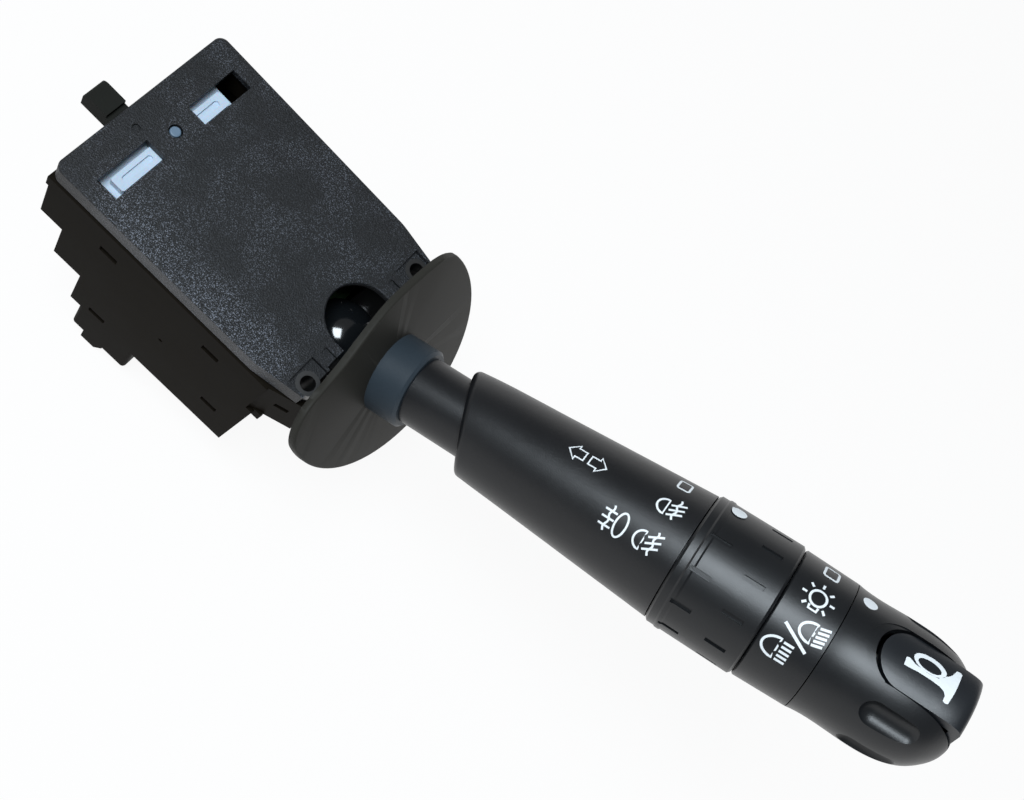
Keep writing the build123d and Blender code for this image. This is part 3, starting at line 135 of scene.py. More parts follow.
Scalar = Union[Num, float]


class Graph:
    """The node tree of one material or of the world."""

    def __init__(self, owner: Union[bpy.types.Material, bpy.types.World], output: str) -> None:
        """Empty the owner's tree.

        Args:
            owner: Material or world that holds the tree.
            output: Type of the node that shows its shader.
        """
        owner.use_nodes = True
        self.owner = owner
        self.output = output
        self.tree = owner.node_tree
        self.tree.nodes.clear()

    @classmethod
    def of_material(cls, name: str) -> "Graph":
        """Return the empty tree of a new material."""
        return cls(bpy.data.materials.new(name), "ShaderNodeOutputMaterial")

    @classmethod
    def of_world(cls, name: str) -> "Graph":
        """Return the empty tree of a new world."""
        return cls(bpy.data.worlds.new(name), "ShaderNodeOutputWorld")

    def node(self, kind: str, settings: Optional[dict] = None, sockets: Optional[dict] = None,
             output: Union[int, str] = 0) -> bpy.types.NodeSocket:
        """Add one node.

        Args:
            kind: The node's type.
            settings: Attributes to set before its sockets.
            sockets: Values or links of its inputs, by name or number.
            output: Which output to return.

        Returns:
            The chosen output socket.
        """
        made = self.tree.nodes.new(kind)
        for key, value in (settings or {}).items():
            setattr(made, key, value)
        for key, value in (sockets or {}).items():
            if isinstance(value, Num):
                value = value.socket
            if isinstance(value, bpy.types.NodeSocket):
                self.tree.links.new(value, made.inputs[key])
            else:
                made.inputs[key].default_value = value
        return made.outputs[output]

    def place(self) -> bpy.types.NodeSocket:
        """Return the object-space position."""
        return self.node("ShaderNodeTexCoord", output="Object")

    def axis(self, letter: str, where: Optional[bpy.types.NodeSocket] = None) -> Num:
        """Add one coordinate of a position.

        Args:
            letter: X, Y or Z.
            where: Position to read, or None for the object's own.

        Returns:
            The coordinate, in metres for the object's own position.
        """
        sockets = {"Vector": where or self.place()}
        return Num(self, self.node("ShaderNodeSeparateXYZ", sockets=sockets, output=letter))

    def ray(self, kind: str) -> Num:
        """Return 1 for rays of a kind, such as Camera, and 0 for others."""
        return Num(self, self.node("ShaderNodeLightPath", output=f"Is {kind} Ray"))

    def noise(self, size_mm: float, detail: float = 2.0,
              where: Optional[bpy.types.NodeSocket] = None) -> Num:
        """Add a noise pattern.

        Args:
            size_mm: Size of its features.
            detail: Octaves of finer noise.
            where: Position to read, or None for the object's own.

        Returns:
            The pattern, about 0.5 on average.
        """
        sockets = {"Vector": where or self.place(), "Scale": 1.0 / (size_mm * MM), "Detail": detail,
                   "Roughness": NOISE_ROUGHNESS}
        return Num(self, self.node("ShaderNodeTexNoise", sockets=sockets))

    def cells(self, size_mm: float) -> Num:
        """Add a cell pattern of distances to cell centres.

        Args:
            size_mm: Size of a cell.

        Returns:
            Distance, 0 at each centre.
        """
        sockets = {"Vector": self.place(), "Scale": 1.0 / (size_mm * MM)}
        return Num(self, self.node("ShaderNodeTexVoronoi", {"feature": "F1"}, sockets, "Distance"))

    def mix(self, factor: Scalar, low: "Tone", high: "Tone") -> bpy.types.NodeSocket:
        """Mix two colours.

        Args:
            factor: 0 for the first, 1 for the second.
            low: First colour, or a socket that carries it.
            high: Second colour, or a socket that carries it.

        Returns:
            The mixed colour.
        """
        ends = [(*end, 1.0) if isinstance(end, tuple) else end for end in (low, high)]
        sockets = {MIX_FACTOR: factor, MIX_LOW: ends[0], MIX_HIGH: ends[1]}
        return self.node("ShaderNodeMix", {"data_type": "RGBA"}, sockets, MIX_RESULT)

    def blend(self, factor: Scalar, low: bpy.types.NodeSocket,
              high: bpy.types.NodeSocket) -> bpy.types.NodeSocket:
        """Mix two shaders.

        Args:
            factor: 0 for the first, 1 for the second.
            low: First shader.
            high: Second shader.

        Returns:
            The mixed shader.
        """
        return self.node("ShaderNodeMixShader", sockets={0: factor, 1: low, 2: high})

    def bump(self, height: Num, depth_mm: float) -> bpy.types.NodeSocket:
        """Turn a height pattern into a surface normal.

        Args:
            height: Pattern between 0 and 1.
            depth_mm: Height of the pattern.

        Returns:
            The bent normal.
        """
        sockets = {"Height": height, "Distance": depth_mm * MM, "Strength": 1.0}
        return self.node("ShaderNodeBump", sockets=sockets)

    def surface(self, **sockets: object) -> bpy.types.Material:
        """Close the material with one Principled surface.

        Args:
            sockets: Inputs by name, with underscores for spaces.

        Returns:
            The finished material.
        """
        named = {key.replace("_", " "): value for key, value in sockets.items()}
        self.show(self.node("ShaderNodeBsdfPrincipled", sockets=named))
        return self.owner

    def show(self, shader: bpy.types.NodeSocket) -> None:
        """Link a shader to the tree's output.

        Args:
            shader: Shader to show.
        """
        end = self.tree.nodes.new(self.output)
        self.tree.links.new(shader, end.inputs["Surface"])


Tone = Union[Colour, bpy.types.NodeSocket]


def shaded(colour: Colour, share: float, lift: float = 0.0) -> Colour:
    """Darken or lighten a colour.

    Args:
        colour: The colour.
        share: What each part of it is multiplied by.
        lift: What is added to each part.

    Returns:
        The new colour, with no part over 1.
    """
    return tuple(min(1.0, part * share + lift) for part in colour)


def relief(coarse: Num, fine: Num) -> Num:
    """Return the height of a moulded grain, from its coarse and its fine pattern."""
    return coarse * COARSE_RELIEF + fine * (1.0 - COARSE_RELIEF)


# ---- finishes ---------------------------------------------------------------------------
@dataclass(frozen=True)
class MouldedPlastic:
    """Moulded plastic with a spark-eroded grain, cloudy tone, and pale flecks that are painted glints."""

    name: str
    colour: Colour
    roughness: float = 0.42
    grain_mm: float = 0.25
    depth_mm: float = 0.02
    glint_share: float = 0.0
    glint_colour: Colour = (0.16, 0.17, 0.19)
    glint_band: Point = (0.58, 0.72)
    specular: float = 0.32
    fine_share: float = 0.55
    dark_share: float = 0.75
    light_share: float = 1.25
    light_lift: float = 0.0005
    cloud_mm: float = 14.0
    cloud_share: float = 0.55
    cloud_rough: float = 0.08
    grain_rough: float = 0.06

    def build(self) -> bpy.types.Material:
        """Make the material.

        Returns:
            The finished material.
        """
        g = Graph.of_material(self.name)
        grain = g.noise(self.grain_mm, detail=3.0)
        cloud = g.noise(self.cloud_mm, detail=3.0)
        fine = g.noise(self.grain_mm * self.fine_share, detail=1.0)
        # Painted glints: pale flecks mixed into the base colour stand in for light glinting off the grain.
        glints = fine.step(*self.glint_band) * self.glint_share
        tone = grain * (1.0 - self.cloud_share) + cloud * self.cloud_share
        light = shaded(self.colour, self.light_share, self.light_lift)
        base = g.mix(tone, shaded(self.colour, self.dark_share), light)
        smoothest = self.roughness - self.grain_rough
        return g.surface(Base_Color=g.mix(glints, base, self.glint_colour),
                         Roughness=smoothest + cloud * self.cloud_rough + grain * self.grain_rough,
                         Specular_IOR_Level=self.specular,
                         Normal=g.bump(relief(grain, fine), self.depth_mm))


@dataclass(frozen=True)
class CoverGrain:
    """Coarse spark-eroded grain of the cover, with painted glints all over and a painted sheen along one
    edge, where it is also smoother.
    """

    name: str = "cover_grain"
    colour: Colour = (0.0085, 0.0090, 0.0100)
    glint: Colour = (0.17, 0.185, 0.22)
    grain_mm: float = 0.36
    depth_mm: float = 0.24
    fine_share: float = 0.6
    dark_share: float = 0.7
    light_share: float = 1.3
    cloud_mm: float = 11.0
    cloud_band: Point = (0.40, 0.62)
    sheen_y: float = -19.5
    sheen_fade_y: float = -12.5
    rear_x: float = -57.0
    rear_fade: float = 9.0
    front_x: float = -2.0
    front_fade: float = 5.0
    glint_band: Point = (0.54, 0.70)
    glint_least: float = 0.12
    glint_cloud: float = 0.45
    glint_on_sheen_edge: float = 0.95
    roughness: float = 0.46
    sheen_smooth: float = 0.06
    grain_rough: float = 0.08
    specular: float = 0.30

    def build(self) -> bpy.types.Material:
        """Make the material.

        Returns:
            The finished material.
        """
        g = Graph.of_material(self.name)
        grain = g.noise(self.grain_mm, detail=3.0)
        cloud = g.noise(self.cloud_mm, detail=3.0).step(*self.cloud_band)
        fine = g.noise(self.grain_mm * self.fine_share, detail=1.0)
        # Painted sheen and painted glints: pale glints are painted into the base colour, crowded along the
        # near edge where a lamp's sheen falls.
        sheen_edge = self.sheen_edge(g)
        glint_amount = cloud * self.glint_cloud + sheen_edge * self.glint_on_sheen_edge + self.glint_least
        glints = fine.step(*self.glint_band) * glint_amount
        base = g.mix(grain, shaded(self.colour, self.dark_share), shaded(self.colour, self.light_share))
        return g.surface(Base_Color=g.mix(glints, base, self.glint),
                         Roughness=self.roughness - sheen_edge * self.sheen_smooth + grain * self.grain_rough,
                         Specular_IOR_Level=self.specular,
                         Normal=g.bump(relief(grain, fine), self.depth_mm))

    def sheen_edge(self, g: Graph) -> Num:
        """Mark where the painted sheen lies along the cover's edge.

        Args:
            g: The cover's node tree.

        Returns:
            1 along the edge with the painted sheen, falling to 0 inward and toward both ends.
        """
        x, y = g.axis("X"), g.axis("Y")
        inward = (y * -1.0).step(-self.sheen_fade_y * MM, -self.sheen_y * MM)
        rear = x.step(self.rear_x * MM, (self.rear_x + self.rear_fade) * MM)
        front = (x * -1.0).step(-self.front_x * MM, (self.front_fade - self.front_x) * MM)
        return inward * rear * front


@dataclass(frozen=True)
class GlossPlastic:
    """Polished moulding, with faint flow marks."""

    name: str
    colour: Colour
    roughness: float = 0.16
    milk: float = 0.0
    milk_mm: float = 1.5
    specular: float = 0.5
    flow_mm: float = 6.0
    flow_rough: float = 0.06
    dark_share: float = 0.88
    light_share: float = 1.06
    wave_mm: float = 1.6
    depth_mm: float = 0.006

    def build(self) -> bpy.types.Material:
        """Make the material.

        Returns:
            The finished material.
        """
        g = Graph.of_material(self.name)
        flow = g.noise(self.flow_mm)
        colour = g.mix(flow, shaded(self.colour, self.dark_share), shaded(self.colour, self.light_share))
        return g.surface(Base_Color=colour, Roughness=self.roughness + flow * self.flow_rough,
                         Subsurface_Weight=self.milk, Subsurface_Scale=self.milk_mm * MM,
                         Specular_IOR_Level=self.specular,
                         Normal=g.bump(g.noise(self.wave_mm, detail=1.0), self.depth_mm))


@dataclass(frozen=True)
class Metal:
    """Plain or plated metal with drawing marks."""

    name: str
    colour: Colour
    roughness: float = 0.30
    stretch: float = 12.0
    dark_share: float = 0.82
    mark_mm: float = 1.2
    mark_smooth: float = 0.05
    mark_rough: float = 0.12
    depth_mm: float = 0.003

    def build(self) -> bpy.types.Material:
        """Make the material.

        Returns:
            The finished material.
        """
        g = Graph.of_material(self.name)
        sockets = {"Vector": g.place(), "Scale": (1.0, self.stretch, 1.0)}
        marks = g.noise(self.mark_mm, 3.0, g.node("ShaderNodeMapping", sockets=sockets))
        colour = g.mix(marks, shaded(self.colour, self.dark_share), self.colour)
        rough = self.roughness - self.mark_smooth + marks * self.mark_rough
        return g.surface(Base_Color=colour, Metallic=1.0, Roughness=rough,
                         Normal=g.bump(marks, self.depth_mm))


@dataclass(frozen=True)
class PrintInk:
    """Pad-printed white ink."""

    name: str = "print_ink"
    colour: Colour = (0.80, 0.83, 0.85)
    roughness: float = 0.42
    dull_share: float = 0.90
    patch_mm: float = 0.5
    patch_rough: float = 0.1

    def build(self) -> bpy.types.Material:
        """Make the material.

        Returns:
            The finished material.
        """
        g = Graph.of_material(self.name)
        patch = g.noise(self.patch_mm)
        return g.surface(Base_Color=g.mix(patch, shaded(self.colour, self.dull_share), self.colour),
                         Roughness=self.roughness + patch * self.patch_rough)


@dataclass(frozen=True)
class BoardFinish:
    """Lacquered glass-filled board."""

    name: str
    colour: Colour
    roughness: float = 0.35
    dark_share: float = 0.7
    weave_mm: float = 0.9
    weave_rough: float = 0.15
    depth_mm: float = 0.01

    def build(self) -> bpy.types.Material:
        """Make the material.

        Returns:
            The finished material.
        """
        g = Graph.of_material(self.name)
        weave = g.cells(self.weave_mm)
        return g.surface(Base_Color=g.mix(weave, shaded(self.colour, self.dark_share), self.colour),
                         Roughness=self.roughness + weave * self.weave_rough,
                         Normal=g.bump(weave, self.depth_mm))


Finish = Union[MouldedPlastic, CoverGrain, GlossPlastic, Metal, PrintInk, BoardFinish]


# ---- shared helpers ---------------------------------------------------------------------
def framed(x_way: Vector, y_way: Vector, z_way: Vector, place: Vector) -> Matrix:
    """Build the matrix of a frame.

    Args:
        x_way: Unit vector of its X.
        y_way: Unit vector of its Y.
        z_way: Unit vector of its Z.
        place: Its origin, in metres.

    Returns:
        The matrix.
    """
    rows = [(x_way[i], y_way[i], z_way[i], place[i]) for i in range(3)]
    return Matrix((*rows, (0.0, 0.0, 0.0, 1.0)))


@dataclass(frozen=True)
class StalkFrame:
    """The stalk's own frame: stations run out along it and angles turn from its top."""

    pivot: Vector = Vector((-1.4, 0.0, -13.87))
    pitch: float = math.radians(28.16)
    yaw: float = math.radians(0.63)

    @property
    def along(self) -> Vector:
        """Unit vector out along the stalk."""
        level = math.cos(self.pitch)
        return Vector((level * math.cos(self.yaw), level * math.sin(self.yaw), math.sin(self.pitch)))

    @property
    def across(self) -> Vector:
        """Unit vector across the stalk."""
        return Vector((-math.sin(self.yaw), math.cos(self.yaw), 0.0))

    def surface(self, station: float, angle: float, radius: float) -> Matrix:
        """Frame that lies on the stalk's skin.

        Args:
            station: Distance from the pivot along the stalk, in mm.
            angle: Degrees round from the top, toward -Y.
            radius: Distance from the axis, in mm.

        Returns:
            Matrix with X along the stalk, Y round it and Z outward, in metres.
        """
        up = self.along.cross(self.across)
        turn = math.radians(angle)
        out = up * math.cos(turn) - self.across * math.sin(turn)
        side = out.cross(self.along)
        at = (self.pivot + self.along * station + out * radius) * MM
        return framed(self.along, side, out, at)


STALK = StalkFrame()


def only(*objects: bpy.types.Object) -> None:
    """Select just these objects, the last one active.

    Args:
        objects: Objects to select.
    """
    bpy.ops.object.select_all(action="DESELECT")
    for obj in objects:
        obj.select_set(True)
        bpy.context.view_layer.objects.active = obj


def dress(finish: Finish, *nodes: str) -> None:
    """Give CAD nodes one finish.

    Args:
        finish: The finish to build.
        nodes: Names of the nodes.
    """
    material = finish.build()
    for name in nodes:
        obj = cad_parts[name]
        obj.data.materials.clear()
        obj.data.materials.append(material)


# ---- printed symbols --------------------------------------------------------------------
@dataclass(frozen=True)
class Stroke:
    """A printed line, as (station, degrees) points."""

    points: Sequence[Point]
    closed: bool = False


@dataclass(frozen=True)
class Patch:
    """A printed filled shape, with an optional hole, as (station, degrees) points."""

    points: Sequence[Point]
    hole: Sequence[Point] = ()


def oval(s: float, a: float, half_s: float, half_a: float, start: float = 0.0, end: float = 360.0,
         count: int = 24) -> list[Point]:
    """Points round an oval, or part of it.

    Args:
        s: Centre station.
        a: Centre angle.
        half_s: Half size along the stalk.
        half_a: Half size round it, in degrees.
        start: First direction, in degrees.
        end: Last direction.
        count: How many steps.

    Returns:
        The points.
    """
    whole = abs(end - start) >= 360.0
    steps = count if whole else count + 1
    turns = [math.radians(start + (end - start) * i / count) for i in range(steps)]
    return [(s + half_s * math.cos(t), a + half_a * math.sin(t)) for t in turns]


@dataclass
class Symbol:
    """One pad-printed symbol that lies on the stalk's skin."""

    name: str
    body: Body
    target: str
    radius: float
    marks: Sequence[Union[Stroke, Patch]]
    width: float = 0.42
    lift: float = 0.03
    cuts: int = 3
    start_off: float = 2.0

    def centre(self) -> Point:
        """Return the middle of all marks."""
        stations, angles = zip(*(point for mark in self.marks for point in mark.points))
        return (min(stations) + max(stations)) / 2, (min(angles) + max(angles)) / 2

    def flat(self, point: Point) -> Vector:
        """Unroll a point about the symbol's middle.

        Args:
            point: Station and angle.

        Returns:
            The point in the symbol's own plane, in metres.
        """
        station, angle = self.centre()
        turned = math.radians(point[1] - angle)
        return Vector(((point[0] - station) * MM, -turned * self.radius * MM, 0.0))

    def loops(self, filled: bool) -> list[tuple[Sequence[Point], bool]]:
        """Collect the lines of the strokes or of the filled shapes.

        Args:
            filled: True for the filled shapes, False for the strokes.

        Returns:
            Points of each line, and whether it is closed.
        """
        if filled:
            patches = [mark for mark in self.marks if isinstance(mark, Patch)]
            return [(edge, True) for patch in patches for edge in (patch.points, patch.hole) if edge]
        return [(mark.points, mark.closed) for mark in self.marks if isinstance(mark, Stroke)]

    def curve(self, filled: bool) -> Optional[bpy.types.Object]:
        """Draw the strokes or the filled shapes as one curve.

        Args:
            filled: True for the filled shapes, False for the strokes.

        Returns:
            The curve object, or None if there are none of that kind.
        """
        loops = self.loops(filled)
        if not loops:
            return None
        data = bpy.data.curves.new(self.name, "CURVE")
        data.dimensions = "2D" if filled else "3D"
        data.fill_mode = "BOTH" if filled else "FULL"
        if not filled:
            data.bevel_depth = self.width / 2 * MM
            data.bevel_resolution = 2
        for points, closed in loops:
            spline = data.splines.new("POLY")
            spline.points.add(len(points) - 1)
            for knot, point in zip(spline.points, points):
                knot.co = (*self.flat(point), 1.0)
            spline.use_cyclic_u = closed
        obj = bpy.data.objects.new(self.name, data)
        bpy.context.scene.collection.objects.link(obj)
        return obj

    def sheet(self, curve: bpy.types.Object, filled: bool) -> bpy.types.Object:
        """Turn a drawn curve into a thin mesh on the skin.

        Args:
            curve: The curve object.
            filled: Whether it holds filled shapes.

        Returns:
            The mesh object, still in the symbol's own plane.
        """
        only(curve)
        bpy.ops.object.convert(target="MESH")
        obj = bpy.context.view_layer.objects.active
        bpy.ops.object.mode_set(mode="EDIT")
        bpy.ops.mesh.select_all(action="SELECT")
        if filled:
            bpy.ops.mesh.subdivide(number_cuts=self.cuts)
        else:
            bpy.ops.mesh.bisect(plane_co=(0, 0, 0), plane_no=(0, 0, 1), clear_inner=True)
            bpy.ops.mesh.select_all(action="SELECT")
            bpy.ops.transform.resize(value=(1, 1, 0))
            bpy.ops.mesh.subdivide(number_cuts=1)
        bpy.ops.object.mode_set(mode="OBJECT")
        return obj

    def lay(self, obj: bpy.types.Object) -> None:
        """Press the sheet down onto the grip.

        Args:
            obj: The mesh object, over its place on the skin.
        """
        wrap = obj.modifiers.new("lay", "SHRINKWRAP")
        wrap.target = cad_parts[self.target]
        wrap.wrap_method = "PROJECT"
        wrap.use_project_z = True
        wrap.use_negative_direction = True
        wrap.use_positive_direction = False
        wrap.offset = self.lift * MM
        bpy.ops.object.modifier_apply(modifier=wrap.name)
        bpy.ops.object.transform_apply(location=True, rotation=True, scale=True)

    def build(self, ink: bpy.types.Material) -> bpy.types.Object:
        """Print the symbol.

        Args:
            ink: Material of the print.

        Returns:
            The finished piece.
        """
        sheets = []
        for filled in (False, True):
            curve = self.curve(filled)
            if curve is not None:
                sheets.append(self.sheet(curve, filled))
        only(*sheets)
        if len(sheets) > 1:
            bpy.ops.object.join()
        obj = bpy.context.view_layer.objects.active
        obj.matrix_world = STALK.surface(*self.centre(), self.radius + self.start_off)
        self.lay(obj)
        obj.name = self.name
        obj.data.materials.clear()
        obj.data.materials.append(ink)
        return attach(obj, self.body.value)


def lamp(s: float, a: float, half_s: float, half_a: float) -> Stroke:
    """Outline of a lamp: flat toward the tip and round toward the pivot.

    Args:
        s: Station of the flat side.
        a: Middle angle.
        half_s: Depth of the round side.
        half_a: Half height in degrees.

    Returns:
        The closed outline.
    """
    return Stroke(oval(s, a, half_s, half_a, 90.0, 270.0, 16), closed=True)


def rays(s0: float, s1: float, angles: Sequence[float], rise: float) -> list[Stroke]:
    """Parallel light rays.

    Args:
        s0: Station where they start.
        s1: Station where they end.
        angles: Angle of each at its start.
        rise: How far each climbs, in degrees.

    Returns:
        One stroke for each ray.
    """
    return [Stroke([(s0, a), (s1, a - rise)]) for a in angles]


def ripple(s: float, a0: float, a1: float, sway: float = 0.22, waves: float = 2.1,
           count: int = 14) -> Stroke:
    """Wavy fog line.

    Args:
        s: Station of its middle.
        a0: Angle where it starts.
        a1: Angle where it ends.
        sway: How far it sways to each side, in mm.
        waves: How many waves it has.
        count: How many steps.

    Returns:
        The stroke.
    """
    shares = [i / count for i in range(count + 1)]
    return Stroke([(s + sway * math.sin(share * waves * math.tau), a0 + (a1 - a0) * share)
                   for share in shares])


def box_mark(s: float, a: float, half_s: float, half_a: float, round_off: float = 0.3) -> Stroke:
    """Rounded box outline.

    Args:
        s: Centre station.
        a: Centre angle.
        half_s: Half size along the stalk.
        half_a: Half size round it, in degrees.
        round_off: Share of each half size that the corners take.

    Returns:
        The closed outline.
    """
    k = 1.0 - round_off
    corners = [(1, 1, 0), (-1, 1, 90), (-1, -1, 180), (1, -1, 270)]
    points: list[Point] = []
    for sx, sy, turn in corners:
        points += oval(s + sx * half_s * k, a + sy * half_a * k, half_s * round_off,
                       half_a * round_off, turn, turn + 90, 4)
    return Stroke(points, closed=True)


def arrow(tip: float, tail: float, a: float, head: float = 8.4, shaft: float = 4.8) -> Stroke:
    """Outline arrow along the stalk.

    Args:
        tip: Station of its point.
        tail: Station of its tail.
        a: Middle angle.
        head: Half height of its head, in degrees.
        shaft: Half height of its shaft, in degrees.

    Returns:
        The closed outline.
    """
    neck = (tip + tail) / 2
    return Stroke([(tip, a), (neck, a - head), (neck, a - shaft), (tail, a - shaft),
                   (tail, a + shaft), (neck, a + shaft), (neck, a + head)], closed=True)


@dataclass
class Prints:
    """All the white symbols of the stalk."""

    ink: PrintInk = field(default_factory=PrintInk)
    bulb: Point = (111.45, -2.8)
    spoke_from: Point = (2.35, 9.9)
    spoke_to: Point = (3.3, 13.8)

    def spokes(self) -> list[Stroke]:
        """Draw the light rays round the side lamp, with none toward its socket.

        Returns:
            One stroke for each ray.
        """
        strokes = []
        for turn in (0, 45, 135, 180, 225, 270, 315):
            c, k = math.cos(math.radians(turn)), math.sin(math.radians(turn))
            strokes.append(Stroke([(self.bulb[0] + s * c, self.bulb[1] + a * k)
                                   for s, a in (self.spoke_from, self.spoke_to)]))
        return strokes

    def sleeve_symbols(self) -> list[Symbol]:
        """Draw the indicator and fog symbols of the sleeve.

        Returns:
            The symbols, not yet printed.
        """
        front = [lamp(79.4, -1.5, 1.9, 7.0), *rays(80.0, 82.8, (-5.0, 0.0, 4.6), 5.6),
                 ripple(81.3, -13.8, 6.6)]
        rear = [Stroke(oval(74.0, 32.4, 1.15, 11.0), True), *rays(69.9, 72.5, (26.0, 32.6, 39.4), 0.0),
                ripple(71.3, 20.6, 44.0)]
        both = [lamp(79.0, 33.0, 1.85, 8.2), *rays(79.6, 82.4, (28.0, 33.6, 39.0), 6.2),
                ripple(81.0, 20.4, 41.6)]
        arrows = [arrow(57.4, 61.0, -4.0), arrow(65.8, 62.2, -3.6)]
        off = [box_mark(80.0, -34.0, 1.25, 7.0)]
        sleeve = "stalk_sleeve"
        return [
            Symbol("symbol_turn_arrows", Body.LEVER, sleeve, 12.2, arrows),
            Symbol("symbol_ring_off", Body.LEVER, sleeve, 13.55, off, width=0.45),
            Symbol("symbol_front_fog", Body.LEVER, sleeve, 13.5, front),
            Symbol("symbol_rear_fog", Body.LEVER, sleeve, 13.1, rear),
            Symbol("symbol_both_fog", Body.LEVER, sleeve, 13.4, both),
        ]

    def band_symbols(self) -> list[Symbol]:
        """Draw the lamp symbols of the fixed band.

        Returns:
            The symbols, not yet printed.
        """
        off = [box_mark(111.65, -35.4, 1.4, 7.2)]
        socket = Stroke([(110.5, 4.6), (110.6, 8.0), (112.2, 8.0), (112.3, 4.6)])
        side = [Stroke(oval(*self.bulb, 1.62, 6.8), True), socket, *self.spokes()]
        dipped = [lamp(113.9, 23.4, 2.75, 7.8), *rays(114.4, 116.4, (17.0, 20.6, 24.2, 27.6, 31.0), 2.2)]
        slash = [Stroke([(108.6, 26.4), (114.4, 39.4)])]
        main_beam = [lamp(109.7, 47.6, 2.9, 8.7), *rays(110.3, 112.3, (40.4, 44.3, 48.2, 52.0, 55.8), 0.0)]
        band = "symbol_band"
        return [
            Symbol("symbol_lights_off", Body.LEVER, band, 13.85, off, width=0.5),
            Symbol("symbol_side_lamp", Body.LEVER, band, 13.85, side, width=0.48),
            Symbol("symbol_dipped_beam", Body.LEVER, band, 13.75, dipped, width=0.5),
            Symbol("symbol_beam_slash", Body.LEVER, band, 13.8, slash, width=0.62),
            Symbol("symbol_main_beam", Body.LEVER, band, 13.85, main_beam, width=0.5),
        ]

    def end_symbols(self) -> list[Symbol]:
        """Draw the dots of the ring and cap, and the horn of the button.

        Returns:
            The symbols, not yet printed.
        """
        ring_dot = [Patch(oval(91.3, -36.4, 1.65, 6.9))]
        cap_dot = [Patch(oval(120.1, -31.2, 1.5, 6.4))]
        horn = [(129.6, -2.8), (130.1, -4.0), (130.8, -2.8), (131.6, -1.4), (134.0, -0.8), (136.2, -2.0),
                (137.0, -7.0), (137.6, -9.4), (138.0, -12.0), (138.3, -16.0), (138.5, -19.0),
                (139.1, -19.6), (139.6, -18.6), (139.6, 0.0), (139.4, 12.4), (138.9, 13.2), (138.4, 12.4),
                (138.3, 8.0), (137.8, 5.2), (136.8, 3.6), (135.0, 3.0), (132.5, 3.2), (130.6, 4.2),
                (129.8, 4.4)]
        loop = Patch(oval(133.9, -8.4, 3.2, 7.8, count=32), oval(133.9, -7.3, 2.3, 4.9, count=28))
        return [
            Symbol("mark_ring", Body.RING, "fog_ring", 14.35, ring_dot, lift=0.16, cuts=9),
            Symbol("mark_cap", Body.CAP, "end_cap", 13.5, cap_dot),
            Symbol("symbol_horn", Body.HORN, "horn_button", 12.5, [Patch(horn), loop]),
        ]

    def build(self) -> None:
        """Print every symbol."""
        ink = self.ink.build()
        for symbol in self.sleeve_symbols() + self.band_symbols() + self.end_symbols():
            symbol.build(ink)
            LOG.info("printed %s", symbol.name)


# ---- assemblies -------------------------------------------------------------------------
@dataclass
class Housing:
    """Case, cover and what is fixed in them."""

    cover: Finish = CoverGrain()
    case: Finish = MouldedPlastic("case_satin", (0.0086, 0.0069, 0.0048), roughness=0.50, grain_mm=0.8,
                                  depth_mm=0.008, specular=0.012)
    plug: Finish = MouldedPlastic("plug_satin", (0.0086, 0.0069, 0.0050), roughness=0.50, grain_mm=0.6,
                                  depth_mm=0.01, specular=0.012)
    bush: Finish = Metal("bush_steel", (0.10, 0.10, 0.10), roughness=0.40)
    tinned: Finish = Metal("tinned_blade", (0.72, 0.68, 0.58), roughness=0.25)
    brass: Finish = Metal("brass", (0.78, 0.58, 0.28), roughness=0.26)
    board: Finish = BoardFinish("board_green", (0.06, 0.13, 0.05))
    acetal: Finish = GlossPlastic("acetal_natural", (0.78, 0.77, 0.71), roughness=0.3, milk=0.2)

    def build(self) -> None:
        """Dress the housing."""
        dress(self.cover, "cover")
        dress(self.case, "lower_case")
        dress(self.plug, "connector_shroud")
        dress(self.bush, "screw_bushes", "board_screws", "finger_spring")
        dress(self.tinned, "terminal_blades")
        dress(self.brass, "trunnion_bush", "board_tracks", "contact_bars", "ring_track", "ring_wiper",
              "horn_contact")
        dress(self.board, "contact_board")
        dress(self.acetal, "detent_cam", "contact_carrier", "cap_spindle", "detent_plunger")
        LOG.info("housing dressed")


@dataclass
class CancelGear:
    """Slide, finger and pin that cancel the indicator."""

    slide: Finish = GlossPlastic("slide_milk", (0.50, 0.60, 0.71), roughness=0.36, milk=0.15)
    finger: Finish = MouldedPlastic("finger_satin", (0.016, 0.0165, 0.0145), roughness=0.50, grain_mm=0.5,
                                    depth_mm=0.02, specular=0.02)
    pin: Finish = GlossPlastic("pin_grey", (0.12, 0.18, 0.25), roughness=0.40)

    def build(self) -> None:
        """Dress the cancelling gear."""
        dress(self.slide, "cancel_slide")
        dress(self.finger, "cancel_finger")
        dress(self.pin, "cam_pin")
        LOG.info("cancelling gear dressed")


